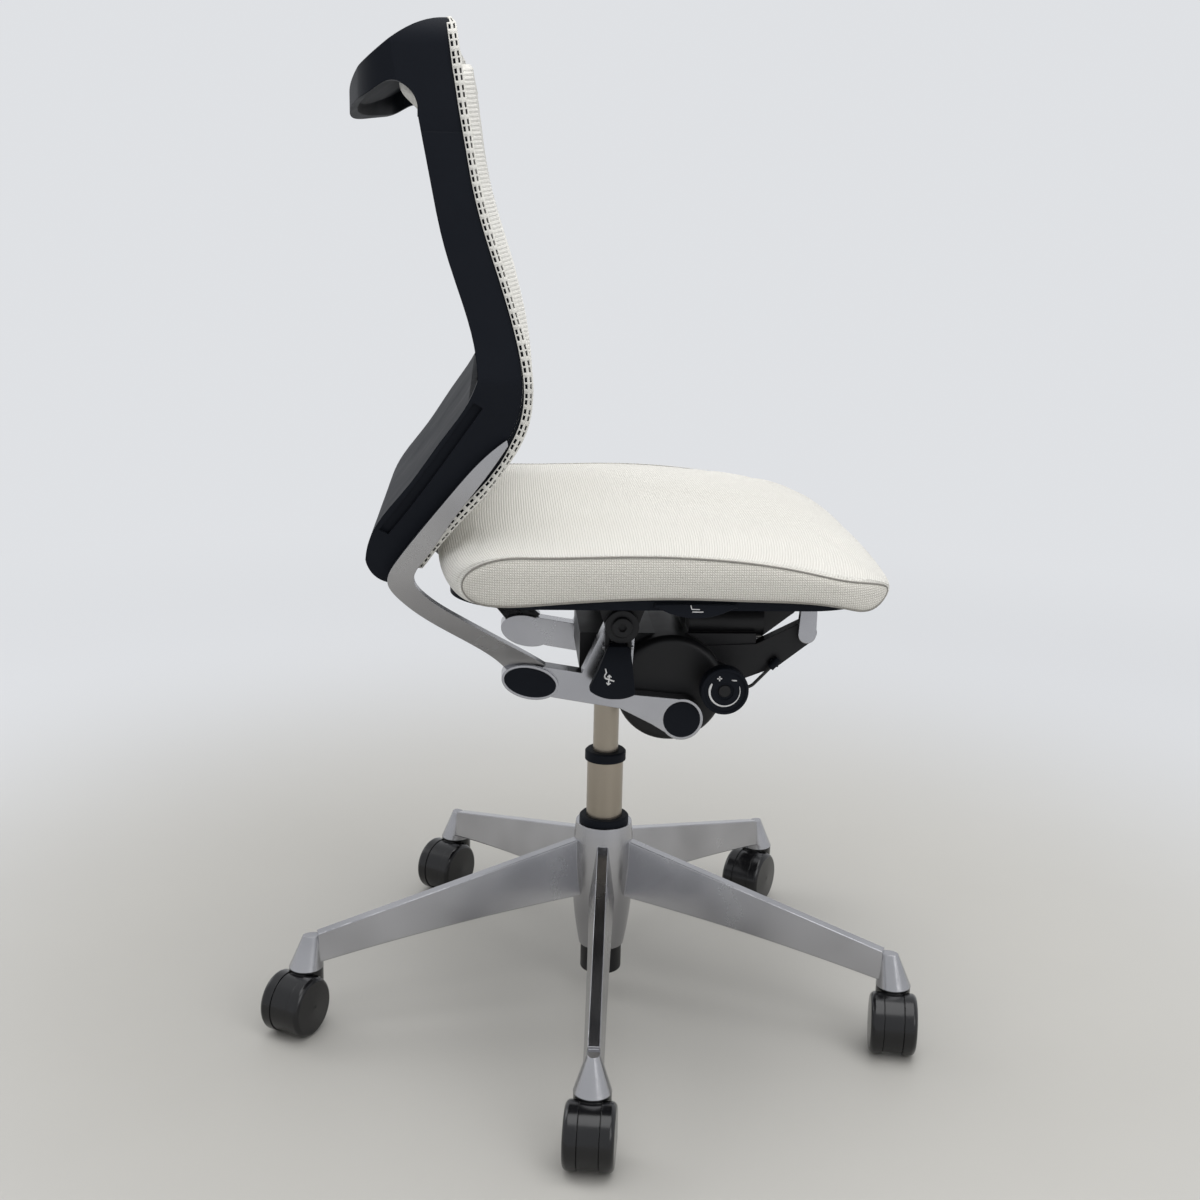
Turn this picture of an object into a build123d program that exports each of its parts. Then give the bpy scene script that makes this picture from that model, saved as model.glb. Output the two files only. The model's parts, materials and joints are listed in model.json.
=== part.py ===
"""Swivel office chair with a five-arm base, a telescopic column and a synchronous tilt.

Millimetres, X forward, Y to the sitter's left, Z up, origin on the floor under the column.
Each block makes one piece of the chair; pieces that come in pairs are mirrored in Y.
"""
from build123d import *
import os
from math import cos, hypot, radians, sin

# Clearances
RUN_FIT = 0.05
SEAT_GAP = 0.3
SIDE_GAP = 1.0

# Star base
ARM_COUNT = 5
FIRST_ARM_DEG = -95.0
CASTOR_CIRCLE_R = 310.0
HUB_TOP = 190.0
HUB_BOTTOM = 53.0
HUB_TOP_R = 29.0
HUB_WAIST_Z = 118.0
HUB_WAIST_R = 31.5
HUB_FOOT_R = 23.5
LEG_ROOT_R = 20.0
LEG_ROOT_TOP = 174.5
LEG_ROOT_BOTTOM = 114.0
LEG_MID_R = 150.0
LEG_MID_TOP = 138.5
LEG_MID_BOTTOM = 96.0
LEG_END_SETBACK = 12.0
LEG_END_TOP = 97.5
LEG_END_BOTTOM = 68.0
LEG_RIDGE_W = 11.0
LEG_ROOT_W = 27.0
LEG_MID_W = 22.0
LEG_END_W = 19.0
LEG_WALL = 3.5
LEG_ROOF = 7.0
LEG_HOLLOW_START = 52.0
LEG_HOLLOW_SETBACK = 38.0
LEG_EDGE_ROUND = 1.0
SOCKET_BOTTOM = 62.0
SOCKET_R = 17.3
SOCKET_TOP = 95.0
SOCKET_TOP_OFFSET = -6.0
SOCKET_TOP_LONG = 9.0
SOCKET_TOP_WIDE = 6.0

# Castors, each with the direction that its wheels trail in
CASTOR_TRAIL_DEG = (-98.0, -100.0, -123.0, -125.0, -119.0)
WHEEL_R = 30.0
WHEEL_INNER_Y = 10.0
WHEEL_RIM_Y = 18.5
WHEEL_OUTER_Y = 24.0
WHEEL_SHOULDER_R = 26.0
WHEEL_SHOULDER_Y = 22.6
WHEEL_RIM_ROUND = 5.6
TRAIL = 20.0
HOOD_R = 29.3
HOOD_W = 19.0
HOOD_LIFT = 9.0
HOOD_NOSE = 6.0
NECK_R = 17.0
NECK_BOTTOM = 47.0
STEM_R = 5.0
STEM_BOTTOM = 50.0
STEM_TOP = 83.0
STEM_GROOVE_Z = 76.0
STEM_GROOVE_W = 2.5
STEM_GROOVE_DEPTH = 0.8
AXLE_R = 3.0
AXLE_END_Y = 17.5

# Telescopic column
OUTER_TUBE_R = 21.5
OUTER_TUBE_WALL = 2.2
OUTER_TUBE_BOTTOM = 24.0
TUBE_FLOOR = 4.0
TUBE_EDGE = 1.5
GUIDE_RING_R = 25.5
GUIDE_RING_H = 7.0
GUIDE_SKIRT = 30.0
MID_TUBE_R = 18.5
MID_TUBE_WALL = 2.0
MID_TUBE_BOTTOM = 92.0
MID_TUBE_TOP = 258.0
MID_RING_R = 21.0
MID_RING_H = 10.0
MID_RING_SKIRT = 25.0
INNER_TUBE_R = 13.0
INNER_TUBE_WALL = 2.0
INNER_TUBE_BOTTOM = 156.0
INNER_TUBE_TOP = 386.0
LIFT_BEARING_H = 8.0
VALVE_PIN_R = 4.0
VALVE_PIN_H = 7.0
ROD_R = 5.0
ROD_TOP = 150.0
CLIP_R = 12.0
CLIP_T = 2.0

# Tilt mechanism: recline pivot, seat pivot, front roller
RECLINE_X = 65.5
RECLINE_Z = 333.0
SEAT_PIVOT_X = 4.5
SEAT_PIVOT_Z = 429.0
ROLLER_X = 191.0
ROLLER_Z = 453.0
ROLLER_R = 5.0
ROLLER_HEAD_R = 8.0
ROLLER_HEAD_T = 3.0
ROLLER_SLOT_GAP = 0.8
ROLLER_TRAVEL = 31.0
DRUM_X = 56.0
DRUM_Z = 357.0
DRUM_R = 53.0
DRUM_ROUND = 7.0
HOUSING_HALF_W = 78.0
BODY_HALF_W = 58.0
BODY_REAR_X = -32.0
BODY_FRONT_X = 141.0
BODY_TOP = 408.0
BODY_REAR_BOTTOM = 372.0
BODY_FRONT_BOTTOM = 392.0
SOCKET_BOSS_R = 25.0
SOCKET_BOSS_BOTTOM = 352.0
BARREL_R = 17.0
BARREL_Y = 36.0
BARREL_Z = 416.0
BARREL_REAR_X = 75.0
FRONT_ARM_Y = 46.0
FRONT_ARM_T = 14.0
FRONT_ARM_TIP_X = 189.5
FRONT_ARM_TIP_Z = 409.5
FRONT_ARM_TIP_R = 11.0
FRONT_ARM_OUTLINE = (
    (91.0, 396.0), (141.0, 398.0), (185.5, 420.5), (195.5, 400.5), (163.0, 375.0), (129.0, 362.0),
    (96.0, 352.0),
)
POST_T = 8.0
POST_W = 18.0
POST_TOP_R = 7.5
POST_ROUND = 1.0
POST_TO_FLANGE = 3.0
PIVOT_SHAFT_R = 9.0

# Tension knob
KNOB_X = 103.5
KNOB_Z = 367.0
KNOB_R = 23.0
KNOB_FACE_Y = 118.0
KNOB_T = 14.0
KNOB_RIM_DEPTH = 1.2
KNOB_RIM_W = 3.0
KNOB_HUB_R = 8.5
KNOB_BOSS_R = 13.0
KNOB_ROUND = 1.5
KNOB_SHAFT_R = 6.0
KNOB_SHAFT_TAPER = 20.0

# Cable from the knob's drive to the clip on the front arm
CABLE_R = 1.6
CABLE_Y = 66.0
CABLE_EXIT_DEG = -25.0
CABLE_RUN = 20.0
CABLE_END = (159.0, 380.0)
CABLE_BEND_R = 12.0
SLEEVE_R = 3.8
SLEEVE_LENGTH = 12.0

# Aluminium back arms
ARM_INNER_Y = 81.0
ARM_PLATE_T = 18.0
EYE_R = 20.5
EYE_CAP_R = 17.8
CAP_DEPTH = 4.0
CAP_PROUD = 1.0
CAP_ROUND = 0.8
OVAL_X = -81.0
OVAL_Z = 371.0
OVAL_LONG = 27.5
OVAL_SHORT = 16.5
OVAL_RIM = 2.6
OVAL_TILT = -12.0
OVAL_PROUD = 4.0
SEAT_EYE_R = 14.0
BRACE_POCKET = 5.0
ARM_PLATE_LOW = (
    (37.0, 328.0), (6.0, 344.0), (-58.5, 355.0), (-92.5, 363.5), (-70.5, 386.0), (-31.5, 379.5),
)
BRACE_FOOT = (15.0, 358.0)
BRACE_POCKET_OUTLINE = ((-11.2, 379.0), (1.7, 413.0), (10.5, 413.0), (7.0, 371.0))
EYE_BLEND = 4.0
BLADE_T = 10.0
BLADE_TIP_T = 4.0
BLADE_ROOT_T = 14.0
BLADE_ROOT_Y = 83.0
BLADE_ALONG_FRAME = (618.0, 560.0, 500.0)
BLADE_REAR = (
    (-105.5, 618.0), (-127.5, 599.0), (-152.5, 569.5), (-178.5, 536.0), (-201.5, 504.5), (-210.5, 482.5),
    (-200.0, 464.5), (-170.0, 438.0), (-134.5, 412.0), (-92.5, 367.0),
)
BLADE_FRONT = (
    (-104.5, 613.0), (-127.0, 579.0), (-152.5, 543.5), (-175.0, 509.0), (-187.0, 484.0),
    (-176.0, 467.5), (-146.5, 444.5), (-104.5, 414.5), (-66.5, 387.5),
)
BLADE_LOW = ((-139.0, 455.0), (-112.0, 419.0), (-93.0, 394.0), (-BLADE_ROOT_Y, 364.0))

# Back frame: widths, then the side outline from the top down
BACK_TOP = 958.0
BACK_TOP_HALF_W = 205.0
LUMBAR_Z = 668.0
LUMBAR_HALF_W = 218.0
TAIL_Z = 474.0
TAIL_HALF_W = 150.0
BACK_CORNER_R = 24.0
RAIL_T = 16.0
SHELL_T = 5.0
HANDLE_SHELL_T = 7.0
WINDOW_BOTTOM = 657.5
SKIN_T = 6.4
PAD_T = 9.0
PAD_TOP = 920.0
PAD_BOTTOM = 592.0
PAD_MARGIN = 20.0
FRONT_EDGE = (
    (-156.0, 958.0), (-148.0, 919.0), (-131.0, 815.0), (-115.0, 759.5), (-98.0, 700.5),
    (-93.0, 659.0), (-101.5, 623.0), (-116.5, 600.5), (-158.0, 541.5), (-189.0, 491.0),
)
REAR_SHELL = (
    (-230.0, 502.5), (-220.5, 534.0), (-190.5, 574.0), (-161.5, 616.0), (-137.0, 652.5),
)
REAR_RAIL = ((-130.5, 669.0), (-133.0, 695.0), (-157.5, 775.5), (-169.5, 830.0), (-179.0, 879.5))
HANDLE_BACK = (
    (-156.0, 958.0), (-170.0, 956.0), (-186.0, 949.5), (-205.0, 937.0), (-221.0, 925.0), (-236.0, 913.5),
    (-247.0, 903.0),
)
HANDLE_LIP = (-248.5, 885.0)
ARCH = (
    (-250.0, 884.0), (-242.0, 889.0), (-220.0, 898.0), (-199.0, 907.5), (-187.5, 902.0), (-179.5, 888.0),
)
HANDLE_BASE_Z = 868.0
HANDLE_BOW = 27.0
HANDLE_CORNER_R = 44.0
GROOVE_DEPTH = 4.0
GROOVE_RIM = 4.0
GROOVE_W = 9.0
TAIL_RUN = 22.0
TAIL_DROP = 12.0
TAIL_HEEL = (-225.5, 490.5)
SKIN_INSET = 2.0

# Seat
SEAT_HALF_W = 240.0
SEAT_FRONT_X = 238.0
SEAT_FRONT_BOW = 6.0
SEAT_REAR_X = -169.0
SEAT_REAR_TOP_X = -152.0
SEAT_CORNER_R = 70.0
SEAT_BOTTOM = 492.0
SEAT_BOTTOM_END = 483.0
SEAT_REAR_TOP = 524.0
SEAT_CROWN = 536.0
SEAT_CROWN_X = 45.0
SEAT_NOSE_Z = 494.0
SEAT_NOSE_TOP_X = 199.0
SEAT_NOSE_TOP_Z = 519.0
CUSHION_ROUND = 9.0
CUSHION_TUCK = 7.0
PAN_T = 8.0
PAN_INSET = 14.0
PAN_WALL = 3.0
CARRIER_T = 4.0
CARRIER_TOP = 466.0
CARRIER_HALF_W = 108.0
CARRIER_WINDOW_L = 60.0
CARRIER_WINDOW_W = 84.0
CARRIER_REAR_X = -101.0
CARRIER_FRONT_X = 236.0
RUNNER_Y = 88.0
RUNNER_W = 14.0
BRACKET_T = 7.0
BRACKET_TOP_W = 56.0
BOSS_T = 7.0
BOSS_R = 16.0
BOLT_R = 6.0
BOLT_HEAD_R = 10.0
BOLT_HEAD_T = 3.5
BOLT_SOCKET = 4.0
BOLT_CHAMFER = 1.0
FLANGE_T = 4.0
FLANGE_BOTTOM = 443.0

# Levers
PADDLE_TOP_Z = 412.0
PADDLE_BOTTOM_Z = 361.0
PADDLE_X = 1.5
PADDLE_TOP_W = 21.0
PADDLE_BOTTOM_W = 44.0
PADDLE_SHIFT = -6.0
PADDLE_T = 5.0
PADDLE_BULGE = 5.0
PADDLE_HINGE_Z = 407.0
PADDLE_PIN_R = 2.0
PADDLE_KNUCKLE_R = 4.5
EAR_T = 4.0
PADDLE_CORNER_R = 4.0
LEVER_ROUND = 1.2
FLAP_X = 58.5
FLAP_LENGTH = 72.0
FLAP_DROP = 11.0
FLAP_T = 4.0

# Positions that follow from the sizes above
LEG_END_R = CASTOR_CIRCLE_R - LEG_END_SETBACK
LEG_HOLLOW_END = CASTOR_CIRCLE_R - LEG_HOLLOW_SETBACK
ARM_OUTER_Y = ARM_INNER_Y + ARM_PLATE_T
BRACKET_INNER_Y = ARM_OUTER_Y + SIDE_GAP
BRACKET_OUTER_Y = BRACKET_INNER_Y + BRACKET_T
BOSS_FACE_Y = BRACKET_OUTER_Y + BOSS_T
PADDLE_HINGE_Y = BRACKET_INNER_Y + PADDLE_KNUCKLE_R + SIDE_GAP
PADDLE_INNER_Y = BOSS_FACE_Y + BOLT_HEAD_T + SIDE_GAP
KNOB_BACK_Y = KNOB_FACE_Y - KNOB_T
POST_INNER_Y = FRONT_ARM_Y + FRONT_ARM_T
POST_OUTER_Y = POST_INNER_Y + POST_T
FLANGE_INNER_Y = POST_OUTER_Y + POST_TO_FLANGE
FLANGE_OUTER_Y = FLANGE_INNER_Y + FLANGE_T
PAN_TOP = SEAT_BOTTOM_END - SEAT_GAP
PAN_BOTTOM = PAN_TOP - PAN_T
FLAP_Y = SEAT_HALF_W - PAN_INSET + SEAT_GAP
FLAP_TOP = PAN_TOP - SIDE_GAP
REACH = 300.0


def save(builder, name):
    """Label a finished piece and write it as its own file."""
    builder.part.label = name
    export_step(builder.part, f"parts/{name}.step")


def shifted(points, distance):
    """Move the points of an open outline sideways, along the mean normal at each point."""
    moved = []
    last = len(points) - 1
    for i, (x, z) in enumerate(points):
        before = points[max(i - 1, 0)]
        after = points[min(i + 1, last)]
        dx = after[0] - before[0]
        dz = after[1] - before[1]
        length = hypot(dx, dz)
        moved.append((x - distance * dz / length, z + distance * dx / length))
    return moved


def back_half_width(z):
    """Half the width of the back frame at a height."""
    if z >= LUMBAR_Z:
        share = (z - LUMBAR_Z) / (BACK_TOP - LUMBAR_Z)
        return LUMBAR_HALF_W + share * (BACK_TOP_HALF_W - LUMBAR_HALF_W)
    share = (LUMBAR_Z - z) / (LUMBAR_Z - TAIL_Z)
    return LUMBAR_HALF_W + share * (TAIL_HALF_W - LUMBAR_HALF_W)


def side_plane(distance):
    """Plane of the side view at a distance to the sitter's right."""
    return Plane.XZ.offset(distance)


os.makedirs("parts", exist_ok=True)


# Star base: one leg, then the hub with all legs


def radial_plane(radius):
    """Upright plane across a leg at a distance from the column."""
    return Plane(origin=(radius, 0, 0), x_dir=(0, 1, 0), z_dir=(1, 0, 0))


def leg_section(radius, top, bottom, ridge, foot):
    """Four-sided section of a leg: narrow ridge on top, wider foot below."""
    with BuildSketch(radial_plane(radius)) as section:
        with BuildLine():
            Polyline(
                (-ridge / 2, top), (ridge / 2, top), (foot / 2, bottom), (-foot / 2, bottom), close=True,
            )
        make_face()
    return section.sketch


def leg_line(radius, z_root, z_mid, z_end):
    """Height of a line of the leg at a distance from the column."""
    if radius < LEG_MID_R:
        share = (radius - LEG_ROOT_R) / (LEG_MID_R - LEG_ROOT_R)
        return z_root + share * (z_mid - z_root)
    share = (radius - LEG_MID_R) / (LEG_END_R - LEG_MID_R)
    return z_mid + share * (z_end - z_mid)


with BuildPart() as leg_hollow:
    hollow_sections = []
    for station in (LEG_HOLLOW_START, LEG_MID_R, LEG_HOLLOW_END):
        roof = leg_line(station, LEG_ROOT_TOP, LEG_MID_TOP, LEG_END_TOP) - LEG_ROOF
        floor = leg_line(station, LEG_ROOT_BOTTOM, LEG_MID_BOTTOM, LEG_END_BOTTOM) - LEG_ROOF
        foot = leg_line(station, LEG_ROOT_W, LEG_MID_W, LEG_END_W) - 2 * LEG_WALL
        hollow_sections.append(leg_section(station, roof, floor, LEG_RIDGE_W - 2 * LEG_WALL, foot))
    loft(hollow_sections)

with BuildPart() as leg:
    loft([
        leg_section(LEG_ROOT_R, LEG_ROOT_TOP, LEG_ROOT_BOTTOM, LEG_RIDGE_W, LEG_ROOT_W),
        leg_section(LEG_MID_R, LEG_MID_TOP, LEG_MID_BOTTOM, LEG_RIDGE_W, LEG_MID_W),
        leg_section(LEG_END_R, LEG_END_TOP, LEG_END_BOTTOM, LEG_RIDGE_W, LEG_END_W),
    ])
    fillet(edges().filter_by(lambda e: abs(e.tangent_at(0.5).X) > 0.8), LEG_EDGE_ROUND)
    add(leg_hollow.part, mode=Mode.SUBTRACT)
    with BuildSketch(Plane.XY.offset(SOCKET_BOTTOM)):
        with Locations((CASTOR_CIRCLE_R, 0)):
            Circle(SOCKET_R)
    with BuildSketch(Plane.XY.offset(SOCKET_TOP)):
        with Locations((CASTOR_CIRCLE_R + SOCKET_TOP_OFFSET, 0)):
            Ellipse(SOCKET_TOP_LONG, SOCKET_TOP_WIDE)
    loft()

with BuildPart() as star_base:
    with BuildSketch(Plane.XZ):
        with BuildLine():
            Polyline((0, HUB_BOTTOM), (HUB_FOOT_R, HUB_BOTTOM))
            Spline((HUB_FOOT_R, HUB_BOTTOM), (HUB_WAIST_R, HUB_WAIST_Z), (HUB_TOP_R, HUB_TOP))
            Polyline((HUB_TOP_R, HUB_TOP), (0, HUB_TOP), (0, HUB_BOTTOM))
        make_face()
    revolve(axis=Axis.Z)
    with PolarLocations(0, ARM_COUNT, start_angle=FIRST_ARM_DEG):
        add(leg.part)
    with Locations((0, 0, HUB_BOTTOM)):
        Cylinder(
            OUTER_TUBE_R + RUN_FIT, HUB_TOP - HUB_BOTTOM,
            align=(Align.CENTER, Align.CENTER, Align.MIN), mode=Mode.SUBTRACT,
        )
    with PolarLocations(CASTOR_CIRCLE_R, ARM_COUNT, start_angle=FIRST_ARM_DEG):
        with Locations((0, 0, SOCKET_BOTTOM)):
            Cylinder(
                STEM_R + RUN_FIT, STEM_TOP + SIDE_GAP - SOCKET_BOTTOM,
                align=(Align.CENTER, Align.CENTER, Align.MIN), mode=Mode.SUBTRACT,
            )
save(star_base, "star_base")


# Column


def ring_profile(points):
    """Closed outline in the half plane of radius and height."""
    with BuildSketch(Plane.XZ) as profile:
        with BuildLine():
            Polyline(*points, close=True)
        make_face()
    return profile.sketch


with BuildPart() as column_outer_tube:
    bore = OUTER_TUBE_R - OUTER_TUBE_WALL
    revolve(ring_profile((
        (ROD_R + RUN_FIT, OUTER_TUBE_BOTTOM), (OUTER_TUBE_R, OUTER_TUBE_BOTTOM), (OUTER_TUBE_R, HUB_TOP),
        (bore, HUB_TOP), (bore, OUTER_TUBE_BOTTOM + TUBE_FLOOR),
        (ROD_R + RUN_FIT, OUTER_TUBE_BOTTOM + TUBE_FLOOR),
    )), axis=Axis.Z)
    fillet(edges().group_by(Axis.Z)[0].sort_by(SortBy.LENGTH)[-1], TUBE_EDGE)
save(column_outer_tube, "column_outer_tube")

with BuildPart() as column_guide_ring:
    bore = MID_TUBE_R + RUN_FIT
    skirt_r = OUTER_TUBE_R - OUTER_TUBE_WALL - RUN_FIT
    revolve(ring_profile((
        (bore, HUB_TOP - GUIDE_SKIRT), (skirt_r, HUB_TOP - GUIDE_SKIRT), (skirt_r, HUB_TOP),
        (GUIDE_RING_R, HUB_TOP), (GUIDE_RING_R, HUB_TOP + GUIDE_RING_H), (bore, HUB_TOP + GUIDE_RING_H),
    )), axis=Axis.Z)
    chamfer(edges().group_by(Axis.Z)[-1].sort_by(SortBy.LENGTH)[-1], TUBE_EDGE)
save(column_guide_ring, "column_guide_ring")

with BuildPart() as gas_piston_rod:
    with Locations((0, 0, OUTER_TUBE_BOTTOM - CLIP_T)):
        Cylinder(ROD_R, ROD_TOP - OUTER_TUBE_BOTTOM + CLIP_T, align=(Align.CENTER, Align.CENTER, Align.MIN))
save(gas_piston_rod, "gas_piston_rod")

with BuildPart() as column_clip:
    with Locations((0, 0, OUTER_TUBE_BOTTOM - CLIP_T)):
        Cylinder(CLIP_R, CLIP_T, align=(Align.CENTER, Align.CENTER, Align.MIN))
        Cylinder(
            ROD_R + RUN_FIT, CLIP_T, align=(Align.CENTER, Align.CENTER, Align.MIN), mode=Mode.SUBTRACT,
        )
save(column_clip, "column_clip")

with BuildPart() as column_mid_tube:
    bore = MID_TUBE_R - MID_TUBE_WALL
    rod_hole = ROD_R + SEAT_GAP
    revolve(ring_profile((
        (rod_hole, MID_TUBE_BOTTOM), (MID_TUBE_R, MID_TUBE_BOTTOM), (MID_TUBE_R, MID_TUBE_TOP),
        (bore, MID_TUBE_TOP), (bore, MID_TUBE_BOTTOM + TUBE_FLOOR), (rod_hole, MID_TUBE_BOTTOM + TUBE_FLOOR),
    )), axis=Axis.Z)
save(column_mid_tube, "column_mid_tube")

with BuildPart() as column_mid_ring:
    bore = INNER_TUBE_R + RUN_FIT
    skirt_r = MID_TUBE_R - MID_TUBE_WALL - RUN_FIT
    revolve(ring_profile((
        (bore, MID_TUBE_TOP - MID_RING_SKIRT), (skirt_r, MID_TUBE_TOP - MID_RING_SKIRT),
        (skirt_r, MID_TUBE_TOP), (MID_RING_R, MID_TUBE_TOP), (MID_RING_R, MID_TUBE_TOP + MID_RING_H),
        (bore, MID_TUBE_TOP + MID_RING_H),
    )), axis=Axis.Z)
    chamfer(edges().group_by(Axis.Z)[-1].sort_by(SortBy.LENGTH)[-1], TUBE_EDGE)
save(column_mid_ring, "column_mid_ring")

with BuildPart() as lift_bearing:
    outer = MID_TUBE_R - MID_TUBE_WALL - RUN_FIT
    top = INNER_TUBE_BOTTOM - RUN_FIT
    revolve(ring_profile((
        (ROD_R + SEAT_GAP, top - LIFT_BEARING_H), (outer, top - LIFT_BEARING_H),
        (outer, top), (ROD_R + SEAT_GAP, top),
    )), axis=Axis.Z)
save(lift_bearing, "lift_bearing")

with BuildPart() as column_inner_tube:
    bore = INNER_TUBE_R - INNER_TUBE_WALL
    revolve(ring_profile((
        (bore, INNER_TUBE_BOTTOM), (INNER_TUBE_R, INNER_TUBE_BOTTOM), (INNER_TUBE_R, INNER_TUBE_TOP),
        (VALVE_PIN_R + RUN_FIT, INNER_TUBE_TOP), (VALVE_PIN_R + RUN_FIT, INNER_TUBE_TOP - TUBE_FLOOR),
        (bore, INNER_TUBE_TOP - TUBE_FLOOR),
    )), axis=Axis.Z)
save(column_inner_tube, "column_inner_tube")

with BuildPart() as gas_valve_pin:
    with Locations((0, 0, INNER_TUBE_TOP - TUBE_FLOOR)):
        Cylinder(VALVE_PIN_R, TUBE_FLOOR + VALVE_PIN_H, align=(Align.CENTER, Align.CENTER, Align.MIN))
save(gas_valve_pin, "gas_valve_pin")


# Castors: one set in its own frame, with the swivel axis on Z and the wheels trailing along X

with BuildPart() as hood:
    with BuildSketch(Plane.XZ):
        with Locations((TRAIL, WHEEL_R)):
            Circle(HOOD_R)
        with Locations((TRAIL, 0)):
            Rectangle(4 * WHEEL_R, 2 * HOOD_LIFT, mode=Mode.SUBTRACT)
        with Locations((TRAIL - HOOD_NOSE, WHEEL_R - HOOD_NOSE)):
            Rectangle(
                2 * WHEEL_R, 2 * WHEEL_R, align=(Align.MAX, Align.MAX), mode=Mode.SUBTRACT,
            )
    extrude(amount=HOOD_W / 2, both=True)
    with Locations((0, 0, NECK_BOTTOM)):
        Cylinder(
            NECK_R, SOCKET_BOTTOM - SEAT_GAP - NECK_BOTTOM, align=(Align.CENTER, Align.CENTER, Align.MIN),
        )
    with BuildSketch(Plane.XZ.offset(HOOD_W / 2), Plane.XZ.offset(-HOOD_W / 2 - WHEEL_OUTER_Y)):
        with Locations((TRAIL, WHEEL_R)):
            Circle(WHEEL_R + SIDE_GAP)
    extrude(amount=WHEEL_OUTER_Y, mode=Mode.SUBTRACT)
    with BuildSketch(Plane.XZ):
        with Locations((TRAIL, WHEEL_R)):
            Circle(AXLE_R + RUN_FIT)
    extrude(amount=HOOD_W, both=True, mode=Mode.SUBTRACT)
    with Locations((0, 0, STEM_BOTTOM)):
        Cylinder(
            STEM_R + RUN_FIT, SOCKET_BOTTOM,
            align=(Align.CENTER, Align.CENTER, Align.MIN), mode=Mode.SUBTRACT,
        )

with BuildPart() as stem:
    groove = STEM_R - STEM_GROOVE_DEPTH
    revolve(ring_profile((
        (0, STEM_BOTTOM), (STEM_R, STEM_BOTTOM), (STEM_R, STEM_GROOVE_Z), (groove, STEM_GROOVE_Z),
        (groove, STEM_GROOVE_Z + STEM_GROOVE_W), (STEM_R, STEM_GROOVE_Z + STEM_GROOVE_W),
        (STEM_R, STEM_TOP), (0, STEM_TOP),
    )), axis=Axis.Z)

with BuildPart() as axle:
    with BuildSketch(Plane.XZ):
        with Locations((TRAIL, WHEEL_R)):
            Circle(AXLE_R)
    extrude(amount=AXLE_END_Y, both=True)

with BuildPart() as wheel:
    with BuildSketch(Plane.XY.offset(WHEEL_R)):
        with BuildLine():
            Polyline(
                (TRAIL, AXLE_END_Y + SIDE_GAP), (TRAIL + AXLE_R + RUN_FIT, AXLE_END_Y + SIDE_GAP),
                (TRAIL + AXLE_R + RUN_FIT, WHEEL_INNER_Y), (TRAIL + WHEEL_R, WHEEL_INNER_Y),
                (TRAIL + WHEEL_R, WHEEL_RIM_Y),
            )
            shoulder = (TRAIL + WHEEL_SHOULDER_R, WHEEL_SHOULDER_Y)
            RadiusArc((TRAIL + WHEEL_R, WHEEL_RIM_Y), shoulder, -WHEEL_RIM_ROUND)
            Polyline(
                shoulder, (TRAIL, WHEEL_OUTER_Y), (TRAIL, AXLE_END_Y + SIDE_GAP),
            )
        make_face()
    revolve(axis=Axis((TRAIL, 0, WHEEL_R), (0, 1, 0)))

for number, trail_deg in enumerate(CASTOR_TRAIL_DEG, start=1):
    leg_angle = radians(FIRST_ARM_DEG + (number - 1) * 360 / ARM_COUNT)
    place = Location(
        (CASTOR_CIRCLE_R * cos(leg_angle), CASTOR_CIRCLE_R * sin(leg_angle), 0), (0, 0, trail_deg),
    )
    for piece_name, piece in (("hood", hood), ("stem", stem), ("axle", axle), ("wheel_left", wheel)):
        with BuildPart() as castor_piece:
            with Locations(place):
                add(piece.part)
        save(castor_piece, f"castor_{number}_{piece_name}")
    with BuildPart() as right_wheel:
        mirror(wheel.part, about=Plane.XZ)
    with BuildPart() as castor_piece:
        with Locations(place):
            add(right_wheel.part)
    save(castor_piece, f"castor_{number}_wheel_right")


# Tilt mechanism


def side_face(distance, *shapes):
    """Outline in the side view, a union of polygons and circles, at a distance to the right."""
    with BuildSketch(side_plane(distance)) as outline:
        for shape in shapes:
            if len(shape) == 2:
                with Locations(shape[0]):
                    Circle(shape[1])
            else:
                with BuildLine():
                    Polyline(*shape, close=True)
                make_face()
    return outline.sketch


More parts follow.
